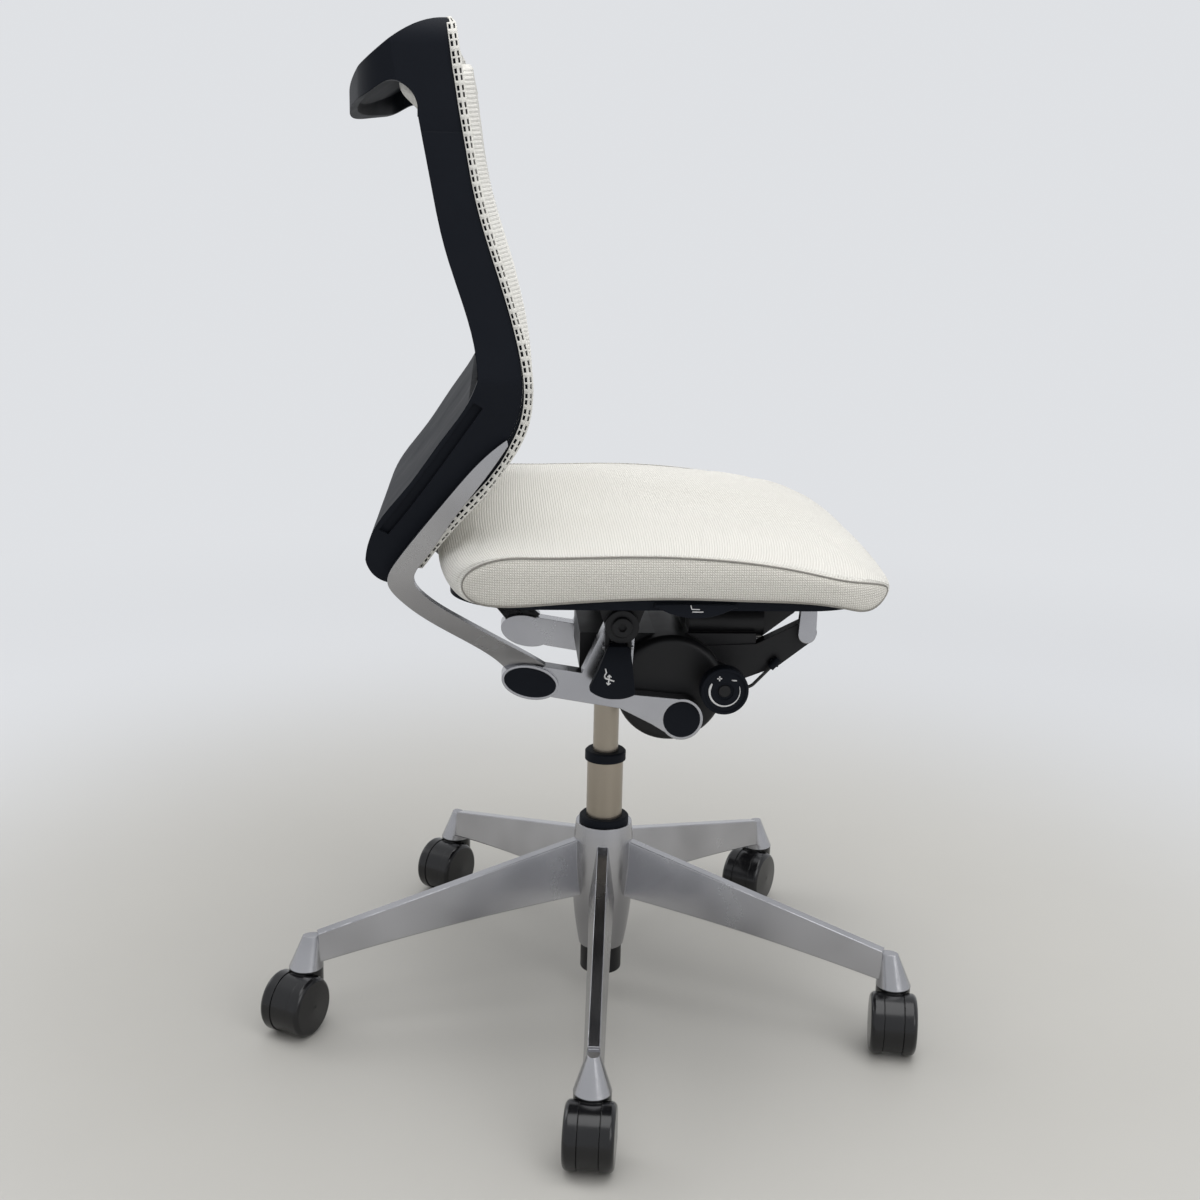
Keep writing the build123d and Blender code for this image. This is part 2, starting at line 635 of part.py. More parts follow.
with BuildPart() as mechanism_housing:
    extrude(side_face(0, ((DRUM_X, DRUM_Z), DRUM_R)), amount=HOUSING_HALF_W, both=True)
    fillet(edges().filter_by(GeomType.CIRCLE), DRUM_ROUND)
    body_outline = (
        (BODY_REAR_X, BODY_REAR_BOTTOM), (BODY_REAR_X, BODY_TOP), (BODY_FRONT_X, BODY_TOP),
        (BODY_FRONT_X, BODY_FRONT_BOTTOM), (DRUM_X + DRUM_R / 2, DRUM_Z), (DRUM_X - DRUM_R / 2, DRUM_Z),
    )
    extrude(side_face(0, body_outline), amount=BODY_HALF_W, both=True)
    with Locations((0, 0, SOCKET_BOSS_BOTTOM)):
        Cylinder(
            SOCKET_BOSS_R, BODY_TOP - SOCKET_BOSS_BOTTOM, align=(Align.CENTER, Align.CENTER, Align.MIN),
        )
    with BuildSketch(Plane.YZ.offset(BARREL_REAR_X)):
        with Locations((BARREL_Y, BARREL_Z), (-BARREL_Y, BARREL_Z)):
            Circle(BARREL_R)
    extrude(amount=BODY_FRONT_X + BARREL_R / 2 - BARREL_REAR_X)
    arm_tip = ((FRONT_ARM_TIP_X, FRONT_ARM_TIP_Z), FRONT_ARM_TIP_R)
    arm = extrude(side_face(FRONT_ARM_Y, FRONT_ARM_OUTLINE, arm_tip), amount=FRONT_ARM_T)
    mirror(arm, about=Plane.XZ)
    extrude(side_face(FRONT_ARM_Y, ((KNOB_X, KNOB_Z), KNOB_BOSS_R)),
            amount=KNOB_BACK_Y - SIDE_GAP - FRONT_ARM_Y)
    with Locations((0, 0, DRUM_Z - DRUM_R)):
        Cylinder(
            INNER_TUBE_R + RUN_FIT, INNER_TUBE_TOP + VALVE_PIN_H + SIDE_GAP - DRUM_Z + DRUM_R,
            align=(Align.CENTER, Align.CENTER, Align.MIN), mode=Mode.SUBTRACT,
        )
    extrude(side_face(0, ((RECLINE_X, RECLINE_Z), PIVOT_SHAFT_R + RUN_FIT)),
            amount=HOUSING_HALF_W + SIDE_GAP, both=True, mode=Mode.SUBTRACT)
    extrude(side_face(FRONT_ARM_Y, ((KNOB_X, KNOB_Z), KNOB_SHAFT_R + RUN_FIT)), amount=KNOB_FACE_Y,
            mode=Mode.SUBTRACT)
save(mechanism_housing, "mechanism_housing")

with BuildPart() as front_posts:
    with BuildSketch(side_plane(POST_INNER_Y)):
        with Locations((ROLLER_X, ROLLER_Z)):
            Circle(POST_TOP_R)
        with Locations((FRONT_ARM_TIP_X, FRONT_ARM_TIP_Z)):
            Circle(POST_W / 2)
        make_hull()
    extrude(amount=POST_T)
    extrude(side_face(POST_INNER_Y, ((ROLLER_X, ROLLER_Z), ROLLER_R + RUN_FIT)), amount=POST_T,
            mode=Mode.SUBTRACT)
    fillet(edges().group_by(Axis.Y)[0], POST_ROUND)
    mirror(about=Plane.XZ)
save(front_posts, "front_posts")

with BuildPart() as front_rollers:
    roller_end = FLANGE_OUTER_Y + SIDE_GAP
    extrude(side_face(POST_INNER_Y, ((ROLLER_X, ROLLER_Z), ROLLER_R)), amount=roller_end - POST_INNER_Y)
    extrude(side_face(roller_end, ((ROLLER_X, ROLLER_Z), ROLLER_HEAD_R)), amount=ROLLER_HEAD_T)
    mirror(about=Plane.XZ)
save(front_rollers, "front_rollers")

with BuildPart() as pivot_shaft:
    extrude(side_face(0, ((RECLINE_X, RECLINE_Z), PIVOT_SHAFT_R)), amount=ARM_OUTER_Y - CAP_DEPTH, both=True)
save(pivot_shaft, "pivot_shaft")

with BuildPart() as tension_knob:
    extrude(side_face(KNOB_BACK_Y, ((KNOB_X, KNOB_Z), KNOB_R)), amount=KNOB_T)
    fillet(edges().group_by(Axis.Y)[0], KNOB_ROUND)
    extrude(side_face(KNOB_FACE_Y - KNOB_RIM_DEPTH, ((KNOB_X, KNOB_Z), KNOB_R - KNOB_RIM_W)),
            amount=KNOB_RIM_DEPTH, mode=Mode.SUBTRACT)
    extrude(side_face(KNOB_FACE_Y - 2 * KNOB_RIM_DEPTH, ((KNOB_X, KNOB_Z), KNOB_HUB_R)),
            amount=KNOB_RIM_DEPTH, mode=Mode.SUBTRACT)
    extrude(side_face(KNOB_BACK_Y, ((KNOB_X, KNOB_Z), KNOB_SHAFT_R + RUN_FIT)),
            amount=KNOB_T, mode=Mode.SUBTRACT)
save(tension_knob, "tension_knob")

with BuildPart() as tension_shaft:
    shaft_end = KNOB_FACE_Y - 2 * KNOB_RIM_DEPTH
    extrude(side_face(FRONT_ARM_Y + SIDE_GAP, ((KNOB_X, KNOB_Z), KNOB_SHAFT_R)),
            amount=shaft_end - FRONT_ARM_Y - SIDE_GAP)
    extrude(side_face(shaft_end, ((KNOB_X, KNOB_Z), KNOB_SHAFT_R)), amount=SIDE_GAP, taper=KNOB_SHAFT_TAPER)
save(tension_shaft, "tension_shaft")


# Aluminium back arm, right side: a plate with two eyes and a brace, and a curved blade up the back

def blade_inner(z):
    """Inside of the blade where it lies along the back frame."""
    return -back_half_width(z) - SIDE_GAP


BLADE_RIBBON = [(blade_inner(z), z) for z in BLADE_ALONG_FRAME]
BLADE_RIBBON.extend(BLADE_LOW)

with BuildPart() as blade:
    with BuildSketch(Plane.XZ):
        with BuildLine():
            Spline(*BLADE_REAR)
            Line(BLADE_REAR[-1], BLADE_FRONT[-1])
            Spline(*BLADE_FRONT)
            Line(BLADE_FRONT[0], BLADE_REAR[0])
        make_face()
    extrude(amount=LUMBAR_HALF_W)
    with BuildSketch(Plane.YZ):
        with BuildLine():
            outer = shifted(BLADE_RIBBON, -BLADE_T)
            outer[0] = (BLADE_RIBBON[0][0] - BLADE_TIP_T, BLADE_RIBBON[0][1])
            outer[-1] = (BLADE_RIBBON[-1][0] - BLADE_ROOT_T, BLADE_RIBBON[-1][1])
            Spline(*BLADE_RIBBON)
            Line(BLADE_RIBBON[-1], outer[-1])
            Spline(*outer)
            Line(outer[0], BLADE_RIBBON[0])
        make_face()
    extrude(amount=-LUMBAR_HALF_W, mode=Mode.INTERSECT)

with BuildPart() as back_arm_right:
    add(blade.part)
    plate = (
        (SEAT_PIVOT_X - SEAT_EYE_R, SEAT_PIVOT_Z), (SEAT_PIVOT_X + SEAT_EYE_R, SEAT_PIVOT_Z), BRACE_FOOT,
        (RECLINE_X - EYE_BLEND, RECLINE_Z + EYE_R), (RECLINE_X - EYE_BLEND, RECLINE_Z - EYE_R),
        *ARM_PLATE_LOW,
    )
    seat_eye = ((SEAT_PIVOT_X, SEAT_PIVOT_Z), SEAT_EYE_R)
    extrude(side_face(ARM_INNER_Y, plate, ((RECLINE_X, RECLINE_Z), EYE_R), seat_eye), amount=ARM_PLATE_T)
    with BuildSketch(side_plane(ARM_INNER_Y)):
        with Locations(Location((OVAL_X, OVAL_Z, 0), OVAL_TILT)):
            Ellipse(OVAL_LONG, OVAL_SHORT)
    extrude(amount=ARM_PLATE_T + OVAL_PROUD)
    with BuildSketch(side_plane(ARM_OUTER_Y + OVAL_PROUD - CAP_DEPTH)):
        with Locations(Location((OVAL_X, OVAL_Z, 0), OVAL_TILT)):
            Ellipse(OVAL_LONG - OVAL_RIM, OVAL_SHORT - OVAL_RIM)
    extrude(amount=CAP_DEPTH, mode=Mode.SUBTRACT)
    extrude(side_face(ARM_OUTER_Y - CAP_DEPTH, ((RECLINE_X, RECLINE_Z), EYE_CAP_R + RUN_FIT)),
            amount=CAP_DEPTH, mode=Mode.SUBTRACT)
    extrude(side_face(ARM_INNER_Y, ((RECLINE_X, RECLINE_Z), PIVOT_SHAFT_R + RUN_FIT)),
            amount=ARM_PLATE_T, mode=Mode.SUBTRACT)
    extrude(side_face(ARM_INNER_Y, ((SEAT_PIVOT_X, SEAT_PIVOT_Z), BOLT_R + RUN_FIT)),
            amount=ARM_PLATE_T, mode=Mode.SUBTRACT)
    extrude(side_face(ARM_OUTER_Y - BRACE_POCKET, BRACE_POCKET_OUTLINE), amount=BRACE_POCKET,
            mode=Mode.SUBTRACT)
save(back_arm_right, "back_arm_right")

with BuildPart() as back_arm_left:
    mirror(back_arm_right.part, about=Plane.XZ)
save(back_arm_left, "back_arm_left")

with BuildPart() as pivot_caps:
    extrude(side_face(ARM_OUTER_Y - CAP_DEPTH, ((RECLINE_X, RECLINE_Z), EYE_CAP_R)),
            amount=CAP_DEPTH + CAP_PROUD)
    fillet(edges().group_by(Axis.Y)[0], CAP_ROUND)
    mirror(about=Plane.XZ)
save(pivot_caps, "pivot_caps")

with BuildPart() as arm_socket_caps:
    with BuildSketch(side_plane(ARM_OUTER_Y + OVAL_PROUD - CAP_DEPTH)):
        with Locations(Location((OVAL_X, OVAL_Z, 0), OVAL_TILT)):
            Ellipse(OVAL_LONG - OVAL_RIM - RUN_FIT, OVAL_SHORT - OVAL_RIM - RUN_FIT)
    extrude(amount=CAP_DEPTH + CAP_PROUD)
    mirror(about=Plane.XZ)
save(arm_socket_caps, "arm_socket_caps")


# Back frame: side outline drawn across the full width, trimmed by the front outline


def front_outline(inset):
    """Front view of the back, drawn in from its edge."""
    with BuildSketch(Plane.YZ) as outline:
        with BuildLine():
            Polyline(
                (-BACK_TOP_HALF_W, BACK_TOP), (BACK_TOP_HALF_W, BACK_TOP), (LUMBAR_HALF_W, LUMBAR_Z),
                (TAIL_HALF_W, TAIL_Z), (-TAIL_HALF_W, TAIL_Z), (-LUMBAR_HALF_W, LUMBAR_Z), close=True,
            )
        make_face()
        fillet(outline.vertices(), BACK_CORNER_R)
        if inset:
            offset(amount=-inset, mode=Mode.REPLACE)
    return outline.sketch


def handle_space(inset):
    """Space that the back may fill: free below the handle, round in plan at its hood, less an inset."""
    half = back_half_width(HANDLE_LIP[1])
    rear = HANDLE_LIP[0]
    with BuildPart() as space:
        with BuildSketch(Plane.XY.offset(HANDLE_BASE_Z)) as plan:
            with BuildLine():
                ThreePointArc((rear + HANDLE_BOW, -half), (rear, 0), (rear + HANDLE_BOW, half))
                Polyline((rear + HANDLE_BOW, half), (0, half), (0, -half), (rear + HANDLE_BOW, -half))
            make_face()
            fillet(plan.vertices().group_by(Axis.X)[0], HANDLE_CORNER_R)
            if inset:
                offset(amount=-inset, mode=Mode.REPLACE)
        extrude(amount=BACK_TOP - HANDLE_BASE_Z)
        with Locations((0, 0, HANDLE_BASE_Z)):
            Box(
                2 * REACH, 2 * LUMBAR_HALF_W, HANDLE_BASE_Z, align=(Align.CENTER, Align.CENTER, Align.MAX),
            )
    return space.part


with BuildPart() as frame_window:
    with BuildSketch(Plane.XZ):
        with BuildLine():
            inner_rear = shifted(REAR_SHELL, -SHELL_T)
            inner_handle = shifted(HANDLE_BACK, HANDLE_SHELL_T)
            Polyline((0, inner_rear[0][1]), inner_rear[0])
            Spline(*inner_rear)
            Polyline(
                inner_rear[-1], (-REACH, WINDOW_BOTTOM), (-REACH, HANDLE_BASE_Z),
                (inner_handle[-1][0], HANDLE_BASE_Z), inner_handle[-1],
            )
            Spline(*inner_handle[::-1])
            Polyline(inner_handle[0], (0, inner_handle[0][1]), (0, inner_rear[0][1]))
        make_face()
    extrude(amount=LUMBAR_HALF_W, both=True)
    extrude(front_outline(RAIL_T), amount=REACH, both=True, mode=Mode.INTERSECT)
    add(handle_space(HANDLE_SHELL_T), mode=Mode.INTERSECT)

with BuildPart() as frame_groove:
    groove_outer = shifted(REAR_SHELL, -GROOVE_RIM)
    groove_inner = shifted(REAR_SHELL, -GROOVE_RIM - GROOVE_W)
    with BuildSketch(Plane.XZ):
        with BuildLine():
            Spline(*groove_outer[1:])
            Line(groove_outer[-1], groove_inner[-1])
            Spline(*groove_inner[1:])
            Line(groove_inner[1], groove_outer[1])
        make_face()
    extrude(amount=LUMBAR_HALF_W, both=True)
    extrude(front_outline(GROOVE_DEPTH), amount=REACH, both=True, mode=Mode.SUBTRACT)

with BuildPart() as back_frame:
    with BuildSketch(Plane.XZ):
        with BuildLine():
            Spline(*FRONT_EDGE)
            tail = (FRONT_EDGE[-1][0] - TAIL_RUN, FRONT_EDGE[-1][1] - TAIL_DROP)
            Line(FRONT_EDGE[-1], tail)
            ThreePointArc(tail, TAIL_HEEL, REAR_SHELL[0])
            Spline(*REAR_SHELL, REAR_RAIL[0])
            Spline(*REAR_RAIL)
            Line(REAR_RAIL[-1], HANDLE_LIP)
            Line(HANDLE_LIP, HANDLE_BACK[-1])
            Spline(*HANDLE_BACK[::-1])
        make_face()
    extrude(amount=LUMBAR_HALF_W, both=True)
    extrude(front_outline(0), amount=REACH, both=True, mode=Mode.INTERSECT)
    add(handle_space(0), mode=Mode.INTERSECT)
    add(frame_window.part, mode=Mode.SUBTRACT)
    add(frame_groove.part, mode=Mode.SUBTRACT)
    with BuildSketch(Plane.XZ):
        with BuildLine():
            Spline(*ARCH)
            Polyline(ARCH[-1], (ARCH[-1][0], HANDLE_BASE_Z), (ARCH[0][0], HANDLE_BASE_Z), ARCH[0])
        make_face()
    extrude(amount=LUMBAR_HALF_W, both=True, mode=Mode.SUBTRACT)
save(back_frame, "back_frame")


def band(points, near, far):
    """Strip in the side view between two distances in front of an outline."""
    inner = shifted(points, near)
    outer = shifted(points, far)
    with BuildSketch(Plane.XZ) as strip:
        with BuildLine():
            Spline(*inner)
            Line(inner[-1], outer[-1])
            Spline(*outer)
            Line(outer[0], inner[0])
        make_face()
    return strip.sketch


with BuildPart() as back_skin:
    extrude(band(FRONT_EDGE, SEAT_GAP, SEAT_GAP + SKIN_T), amount=LUMBAR_HALF_W, both=True)
    extrude(front_outline(SKIN_INSET), amount=REACH, both=True, mode=Mode.INTERSECT)
save(back_skin, "back_skin")

with BuildPart() as back_pad:
    pad_near = 2 * SEAT_GAP + SKIN_T
    extrude(band(FRONT_EDGE, pad_near, pad_near + PAD_T), amount=LUMBAR_HALF_W, both=True)
    extrude(front_outline(PAD_MARGIN), amount=REACH, both=True, mode=Mode.INTERSECT)
    with Locations((0, 0, PAD_BOTTOM)):
        Box(
            2 * REACH, 2 * LUMBAR_HALF_W, PAD_TOP - PAD_BOTTOM,
            align=(Align.CENTER, Align.CENTER, Align.MIN), mode=Mode.INTERSECT,
        )
save(back_pad, "back_pad")


# Seat


def seat_outline(height, inset):
    """Plan of the seat, drawn in from its edge: bowed front, straight sides and rear."""
    half = SEAT_HALF_W - inset
    front = SEAT_FRONT_X - inset
    rear = SEAT_REAR_X + inset
    with BuildSketch(Plane.XY.offset(height)) as outline:
        with BuildLine():
            ThreePointArc((front, -half), (front + SEAT_FRONT_BOW, 0), (front, half))
            Polyline((front, half), (rear, half), (rear, -half), (front, -half))
        make_face()
        fillet(outline.vertices(), SEAT_CORNER_R)
    return outline.sketch


with BuildPart() as seat_cushion:
    with BuildSketch(Plane.XZ):
        with BuildLine():
            nose = (SEAT_FRONT_X + SEAT_FRONT_BOW, SEAT_NOSE_Z)
            rear_low = (SEAT_REAR_X, SEAT_NOSE_Z)
            front_low = (SEAT_FRONT_X, SEAT_BOTTOM_END)
            back_low = (SEAT_REAR_X + CUSHION_TUCK, SEAT_BOTTOM_END)
            ThreePointArc(back_low, (SEAT_CROWN_X, SEAT_BOTTOM), front_low)
            Line(front_low, nose)
            Spline(
                nose, (SEAT_NOSE_TOP_X, SEAT_NOSE_TOP_Z), (SEAT_CROWN_X, SEAT_CROWN),
                (SEAT_REAR_TOP_X, SEAT_REAR_TOP),
            )
            Line((SEAT_REAR_TOP_X, SEAT_REAR_TOP), rear_low)
            Line(rear_low, back_low)
        make_face()
    extrude(amount=SEAT_HALF_W, both=True)
    extrude(seat_outline(SEAT_BOTTOM_END, 0), amount=SEAT_CROWN - SEAT_BOTTOM_END, mode=Mode.INTERSECT)
    fillet(edges().filter_by(lambda e: e.center().Z > SEAT_NOSE_Z and abs(e.center().Y) > 0.9 * SEAT_HALF_W),
           CUSHION_ROUND)
save(seat_cushion, "seat_cushion")

with BuildPart() as seat_pan:
    extrude(seat_outline(PAN_BOTTOM, PAN_INSET), amount=SEAT_BOTTOM - PAN_BOTTOM)
    with BuildSketch(Plane.XZ):
        with BuildLine():
            rim_rear = (back_low[0], back_low[1] - SEAT_GAP)
            rim_front = (front_low[0], front_low[1] - SEAT_GAP)
            ThreePointArc(rim_rear, (SEAT_CROWN_X, SEAT_BOTTOM - SEAT_GAP), rim_front)
            Polyline(
                rim_front, (nose[0], rim_front[1]), (nose[0], SEAT_CROWN), (SEAT_REAR_X, SEAT_CROWN),
                (SEAT_REAR_X, rim_rear[1]), rim_rear,
            )
        make_face()
    extrude(amount=SEAT_HALF_W, both=True, mode=Mode.SUBTRACT)
    extrude(seat_outline(PAN_BOTTOM, PAN_INSET + PAN_WALL), amount=PAN_T - PAN_WALL, mode=Mode.SUBTRACT)
    for side in (-1, 1):
        with Locations((CARRIER_REAR_X, side * RUNNER_Y, CARRIER_TOP + SEAT_GAP)):
            Box(
                FLAP_X + FLAP_LENGTH - CARRIER_REAR_X, RUNNER_W, PAN_TOP - PAN_WALL - CARRIER_TOP - SEAT_GAP,
                align=(Align.MIN, Align.CENTER, Align.MIN),
            )
save(seat_pan, "seat_pan")

with BuildPart() as seat_carrier:
    with BuildSketch(Plane.XY.offset(CARRIER_TOP - CARRIER_T)):
        with Locations(((CARRIER_REAR_X + CARRIER_FRONT_X) / 2, 0)):
            RectangleRounded(CARRIER_FRONT_X - CARRIER_REAR_X, 2 * CARRIER_HALF_W, BRACKET_T)
        with Locations((CARRIER_REAR_X + CARRIER_HALF_W / 2, 0), (CARRIER_FRONT_X - CARRIER_HALF_W / 2, 0)):
            RectangleRounded(CARRIER_WINDOW_L, CARRIER_WINDOW_W, BRACKET_T, mode=Mode.SUBTRACT)
    extrude(amount=CARRIER_T)
    plate_bottom = CARRIER_TOP - CARRIER_T
    bracket = (
        (SEAT_PIVOT_X - BRACKET_TOP_W / 2, plate_bottom), (SEAT_PIVOT_X + BRACKET_TOP_W / 2, plate_bottom),
        (SEAT_PIVOT_X + BOSS_R, SEAT_PIVOT_Z), (SEAT_PIVOT_X - BOSS_R, SEAT_PIVOT_Z),
    )
    pivot = (SEAT_PIVOT_X, SEAT_PIVOT_Z)
    right_side = [
        extrude(side_face(BRACKET_INNER_Y, bracket, (pivot, BOSS_R)), amount=BRACKET_T),
        extrude(side_face(BRACKET_OUTER_Y, (pivot, BOSS_R)), amount=BOSS_T),
    ]
    flange = (
        (ROLLER_X - ROLLER_TRAVEL, plate_bottom), (CARRIER_FRONT_X, plate_bottom),
        (CARRIER_FRONT_X, FLANGE_BOTTOM), (ROLLER_X - ROLLER_R - FLANGE_T, FLANGE_BOTTOM),
    )
    right_side.append(extrude(side_face(FLANGE_INNER_Y, flange), amount=FLANGE_T))
    for ear_x in (PADDLE_X - PADDLE_TOP_W / 2, PADDLE_X + PADDLE_TOP_W / 2):
        with Locations((ear_x, -BRACKET_INNER_Y, PADDLE_HINGE_Z - PADDLE_KNUCKLE_R)):
            ear_height = SEAT_PIVOT_Z - BOSS_R / 2 - PADDLE_HINGE_Z + PADDLE_KNUCKLE_R
            right_side.append(Box(
                EAR_T, 2 * PADDLE_KNUCKLE_R + SIDE_GAP, ear_height,
                align=(Align.CENTER, Align.MAX, Align.MIN),
            ))
    for shape in right_side:
        mirror(shape, about=Plane.XZ)
    extrude(side_face(0, (pivot, BOLT_R + RUN_FIT)), amount=BOSS_FACE_Y, both=True, mode=Mode.SUBTRACT)
    slot_half = ROLLER_R + ROLLER_SLOT_GAP
    slot_end = ROLLER_X + ROLLER_TRAVEL
    slot = (
        (ROLLER_X, ROLLER_Z - slot_half), (slot_end, ROLLER_Z - slot_half),
        (slot_end, ROLLER_Z + slot_half), (ROLLER_X, ROLLER_Z + slot_half),
    )
    extrude(side_face(0, slot, ((ROLLER_X, ROLLER_Z), slot_half), ((slot_end, ROLLER_Z), slot_half)),
            amount=FLANGE_OUTER_Y, both=True, mode=Mode.SUBTRACT)
    with BuildSketch(Plane.YZ.offset(PADDLE_X)):
        with Locations((-PADDLE_HINGE_Y, PADDLE_HINGE_Z), (PADDLE_HINGE_Y, PADDLE_HINGE_Z)):
            Circle(PADDLE_PIN_R + RUN_FIT)
    extrude(amount=PADDLE_TOP_W, both=True, mode=Mode.SUBTRACT)
save(seat_carrier, "seat_carrier")

with BuildPart() as seat_pivot_bolts:
    extrude(side_face(ARM_INNER_Y + SIDE_GAP, (pivot, BOLT_R)), amount=BOSS_FACE_Y - ARM_INNER_Y - SIDE_GAP)
    extrude(side_face(BOSS_FACE_Y, (pivot, BOLT_HEAD_R)), amount=BOLT_HEAD_T)
    chamfer(edges().group_by(Axis.Y)[0], BOLT_CHAMFER)
    with BuildSketch(side_plane(BOSS_FACE_Y)):
        with Locations(pivot):
            RegularPolygon(BOLT_SOCKET, 6)
    extrude(amount=BOLT_HEAD_T, mode=Mode.SUBTRACT)
    mirror(about=Plane.XZ)
save(seat_pivot_bolts, "seat_pivot_bolts")

with BuildPart() as paddle_pins:
    with BuildSketch(Plane.YZ.offset(PADDLE_X)):
        with Locations((-PADDLE_HINGE_Y, PADDLE_HINGE_Z), (PADDLE_HINGE_Y, PADDLE_HINGE_Z)):
            Circle(PADDLE_PIN_R)
    extrude(amount=PADDLE_TOP_W / 2 + EAR_T, both=True)
save(paddle_pins, "paddle_pins")


# Levers

with BuildPart() as height_paddle:
    with BuildSketch(Plane.YZ):
        with BuildLine():
            inner_y = -PADDLE_INNER_Y
            outer_top = (inner_y - PADDLE_T / 2, PADDLE_TOP_Z)
            Polyline((inner_y, PADDLE_BOTTOM_Z), (inner_y, PADDLE_TOP_Z), outer_top)
            ThreePointArc(
                outer_top,
                (inner_y - PADDLE_T - PADDLE_BULGE, PADDLE_BOTTOM_Z + (PADDLE_TOP_Z - PADDLE_BOTTOM_Z) / 3),
                (inner_y - PADDLE_T, PADDLE_BOTTOM_Z),
            )
            Line((inner_y - PADDLE_T, PADDLE_BOTTOM_Z), (inner_y, PADDLE_BOTTOM_Z))
        make_face()
    extrude(amount=PADDLE_BOTTOM_W, both=True)
    with BuildSketch(Plane.XZ) as paddle_outline:
        with BuildLine():
            bottom_x = PADDLE_X + PADDLE_SHIFT
            corner = PADDLE_BOTTOM_Z + PADDLE_BULGE
            top_left = (PADDLE_X - PADDLE_TOP_W / 2, PADDLE_TOP_Z)
            top_right = (PADDLE_X + PADDLE_TOP_W / 2, PADDLE_TOP_Z)
            low_right = (bottom_x + PADDLE_BOTTOM_W / 2, corner)
            low_left = (bottom_x - PADDLE_BOTTOM_W / 2, corner + PADDLE_BULGE)
            Polyline(low_left, top_left, top_right, low_right)
            ThreePointArc(low_right, (bottom_x + PADDLE_BOTTOM_W / 6, PADDLE_BOTTOM_Z), low_left)
        make_face()
        fillet(paddle_outline.vertices(), PADDLE_CORNER_R)
    extrude(amount=REACH, mode=Mode.INTERSECT)
    fillet(faces().sort_by(Axis.Y)[0].edges(), LEVER_ROUND)
    knuckle_w = PADDLE_TOP_W - EAR_T - SIDE_GAP
    with Locations((PADDLE_X, -PADDLE_HINGE_Y, PADDLE_HINGE_Z)):
        Box(
            knuckle_w, PADDLE_INNER_Y - PADDLE_HINGE_Y, 2 * PADDLE_PIN_R + 2 * SIDE_GAP,
            align=(Align.CENTER, Align.MAX, Align.CENTER),
        )
    with BuildSketch(Plane.YZ.offset(PADDLE_X)):
        with Locations((-PADDLE_HINGE_Y, PADDLE_HINGE_Z)):
            Circle(PADDLE_KNUCKLE_R)
    extrude(amount=knuckle_w / 2, both=True)
    with BuildSketch(Plane.YZ.offset(PADDLE_X)):
        with Locations((-PADDLE_HINGE_Y, PADDLE_HINGE_Z)):
            Circle(PADDLE_PIN_R + RUN_FIT)
    extrude(amount=PADDLE_TOP_W, both=True, mode=Mode.SUBTRACT)
save(height_paddle, "height_paddle")

with BuildPart() as tilt_lock_paddle:
    mirror(height_paddle.part, about=Plane.XZ)
save(tilt_lock_paddle, "tilt_lock_paddle")

with BuildPart() as slide_flap:
    hinge_z = FLAP_TOP - FLAP_T / 2
    with BuildSketch(side_plane(FLAP_Y)):
        with BuildLine():
            ends = (FLAP_X - FLAP_LENGTH / 2, FLAP_X + FLAP_LENGTH / 2)
            Line((ends[0], hinge_z), (ends[1], hinge_z))
            ThreePointArc((ends[1], hinge_z), (FLAP_X, hinge_z - FLAP_DROP), (ends[0], hinge_z))
        make_face()
    extrude(amount=FLAP_T)
    fillet(faces().sort_by(Axis.Y)[0].edges().filter_by(GeomType.CIRCLE), LEVER_ROUND)
    with BuildSketch(Plane.YZ.offset(FLAP_X)):
        with Locations((-FLAP_Y - FLAP_T / 2, hinge_z)):
            Circle(FLAP_T / 2)
    extrude(amount=FLAP_LENGTH / 2, both=True)
save(slide_flap, "slide_flap")


# Cable

exit_angle = radians(CABLE_EXIT_DEG)
exit_reach = KNOB_BOSS_R + SEAT_GAP
cable_start = (KNOB_X + exit_reach * cos(exit_angle), KNOB_Z + exit_reach * sin(exit_angle))
cable_knee = (cable_start[0] + CABLE_RUN * cos(exit_angle), cable_start[1] + CABLE_RUN * sin(exit_angle))

with BuildPart() as tension_cable:
    with BuildLine(side_plane(CABLE_Y)) as route:
        FilletPolyline(cable_start, cable_knee, CABLE_END, radius=CABLE_BEND_R)
    with BuildSketch(Plane(route.line @ 0, z_dir=route.line % 0)):
        Circle(CABLE_R)
    sweep(path=route.line)
save(tension_cable, "tension_cable")

with BuildPart() as cable_clip:
    with BuildSketch(Plane(route.line @ 1, z_dir=route.line % 1)):
        Circle(SLEEVE_R)
    extrude(amount=SLEEVE_LENGTH / 2, both=True)
    with Locations((CABLE_END[0], -POST_INNER_Y, CABLE_END[1])):
        Box(
            2 * SLEEVE_R, CABLE_Y - POST_INNER_Y, 2 * SLEEVE_R,
            align=(Align.CENTER, Align.MAX, Align.CENTER),
        )
    with BuildSketch(Plane(route.line @ 1, z_dir=route.line % 1)):
        Circle(CABLE_R + RUN_FIT)
    extrude(amount=SLEEVE_LENGTH, both=True, mode=Mode.SUBTRACT)
save(cable_clip, "cable_clip")
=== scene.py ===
"""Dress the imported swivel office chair: upholstery, metal, moulded plastic, marks and studio.

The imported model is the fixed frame, in metres: X forward, Y to the sitter's left, Z up, with the
origin on the floor under the column.  Rigid nodes keep their solids and get procedural finishes;
soft nodes are replaced by modelled surfaces that ride on the same bodies.
"""

import json
import logging
import math
from dataclasses import dataclass, field
from enum import Enum

import bmesh
import bpy
import numpy as np
from mathutils import Matrix, Vector


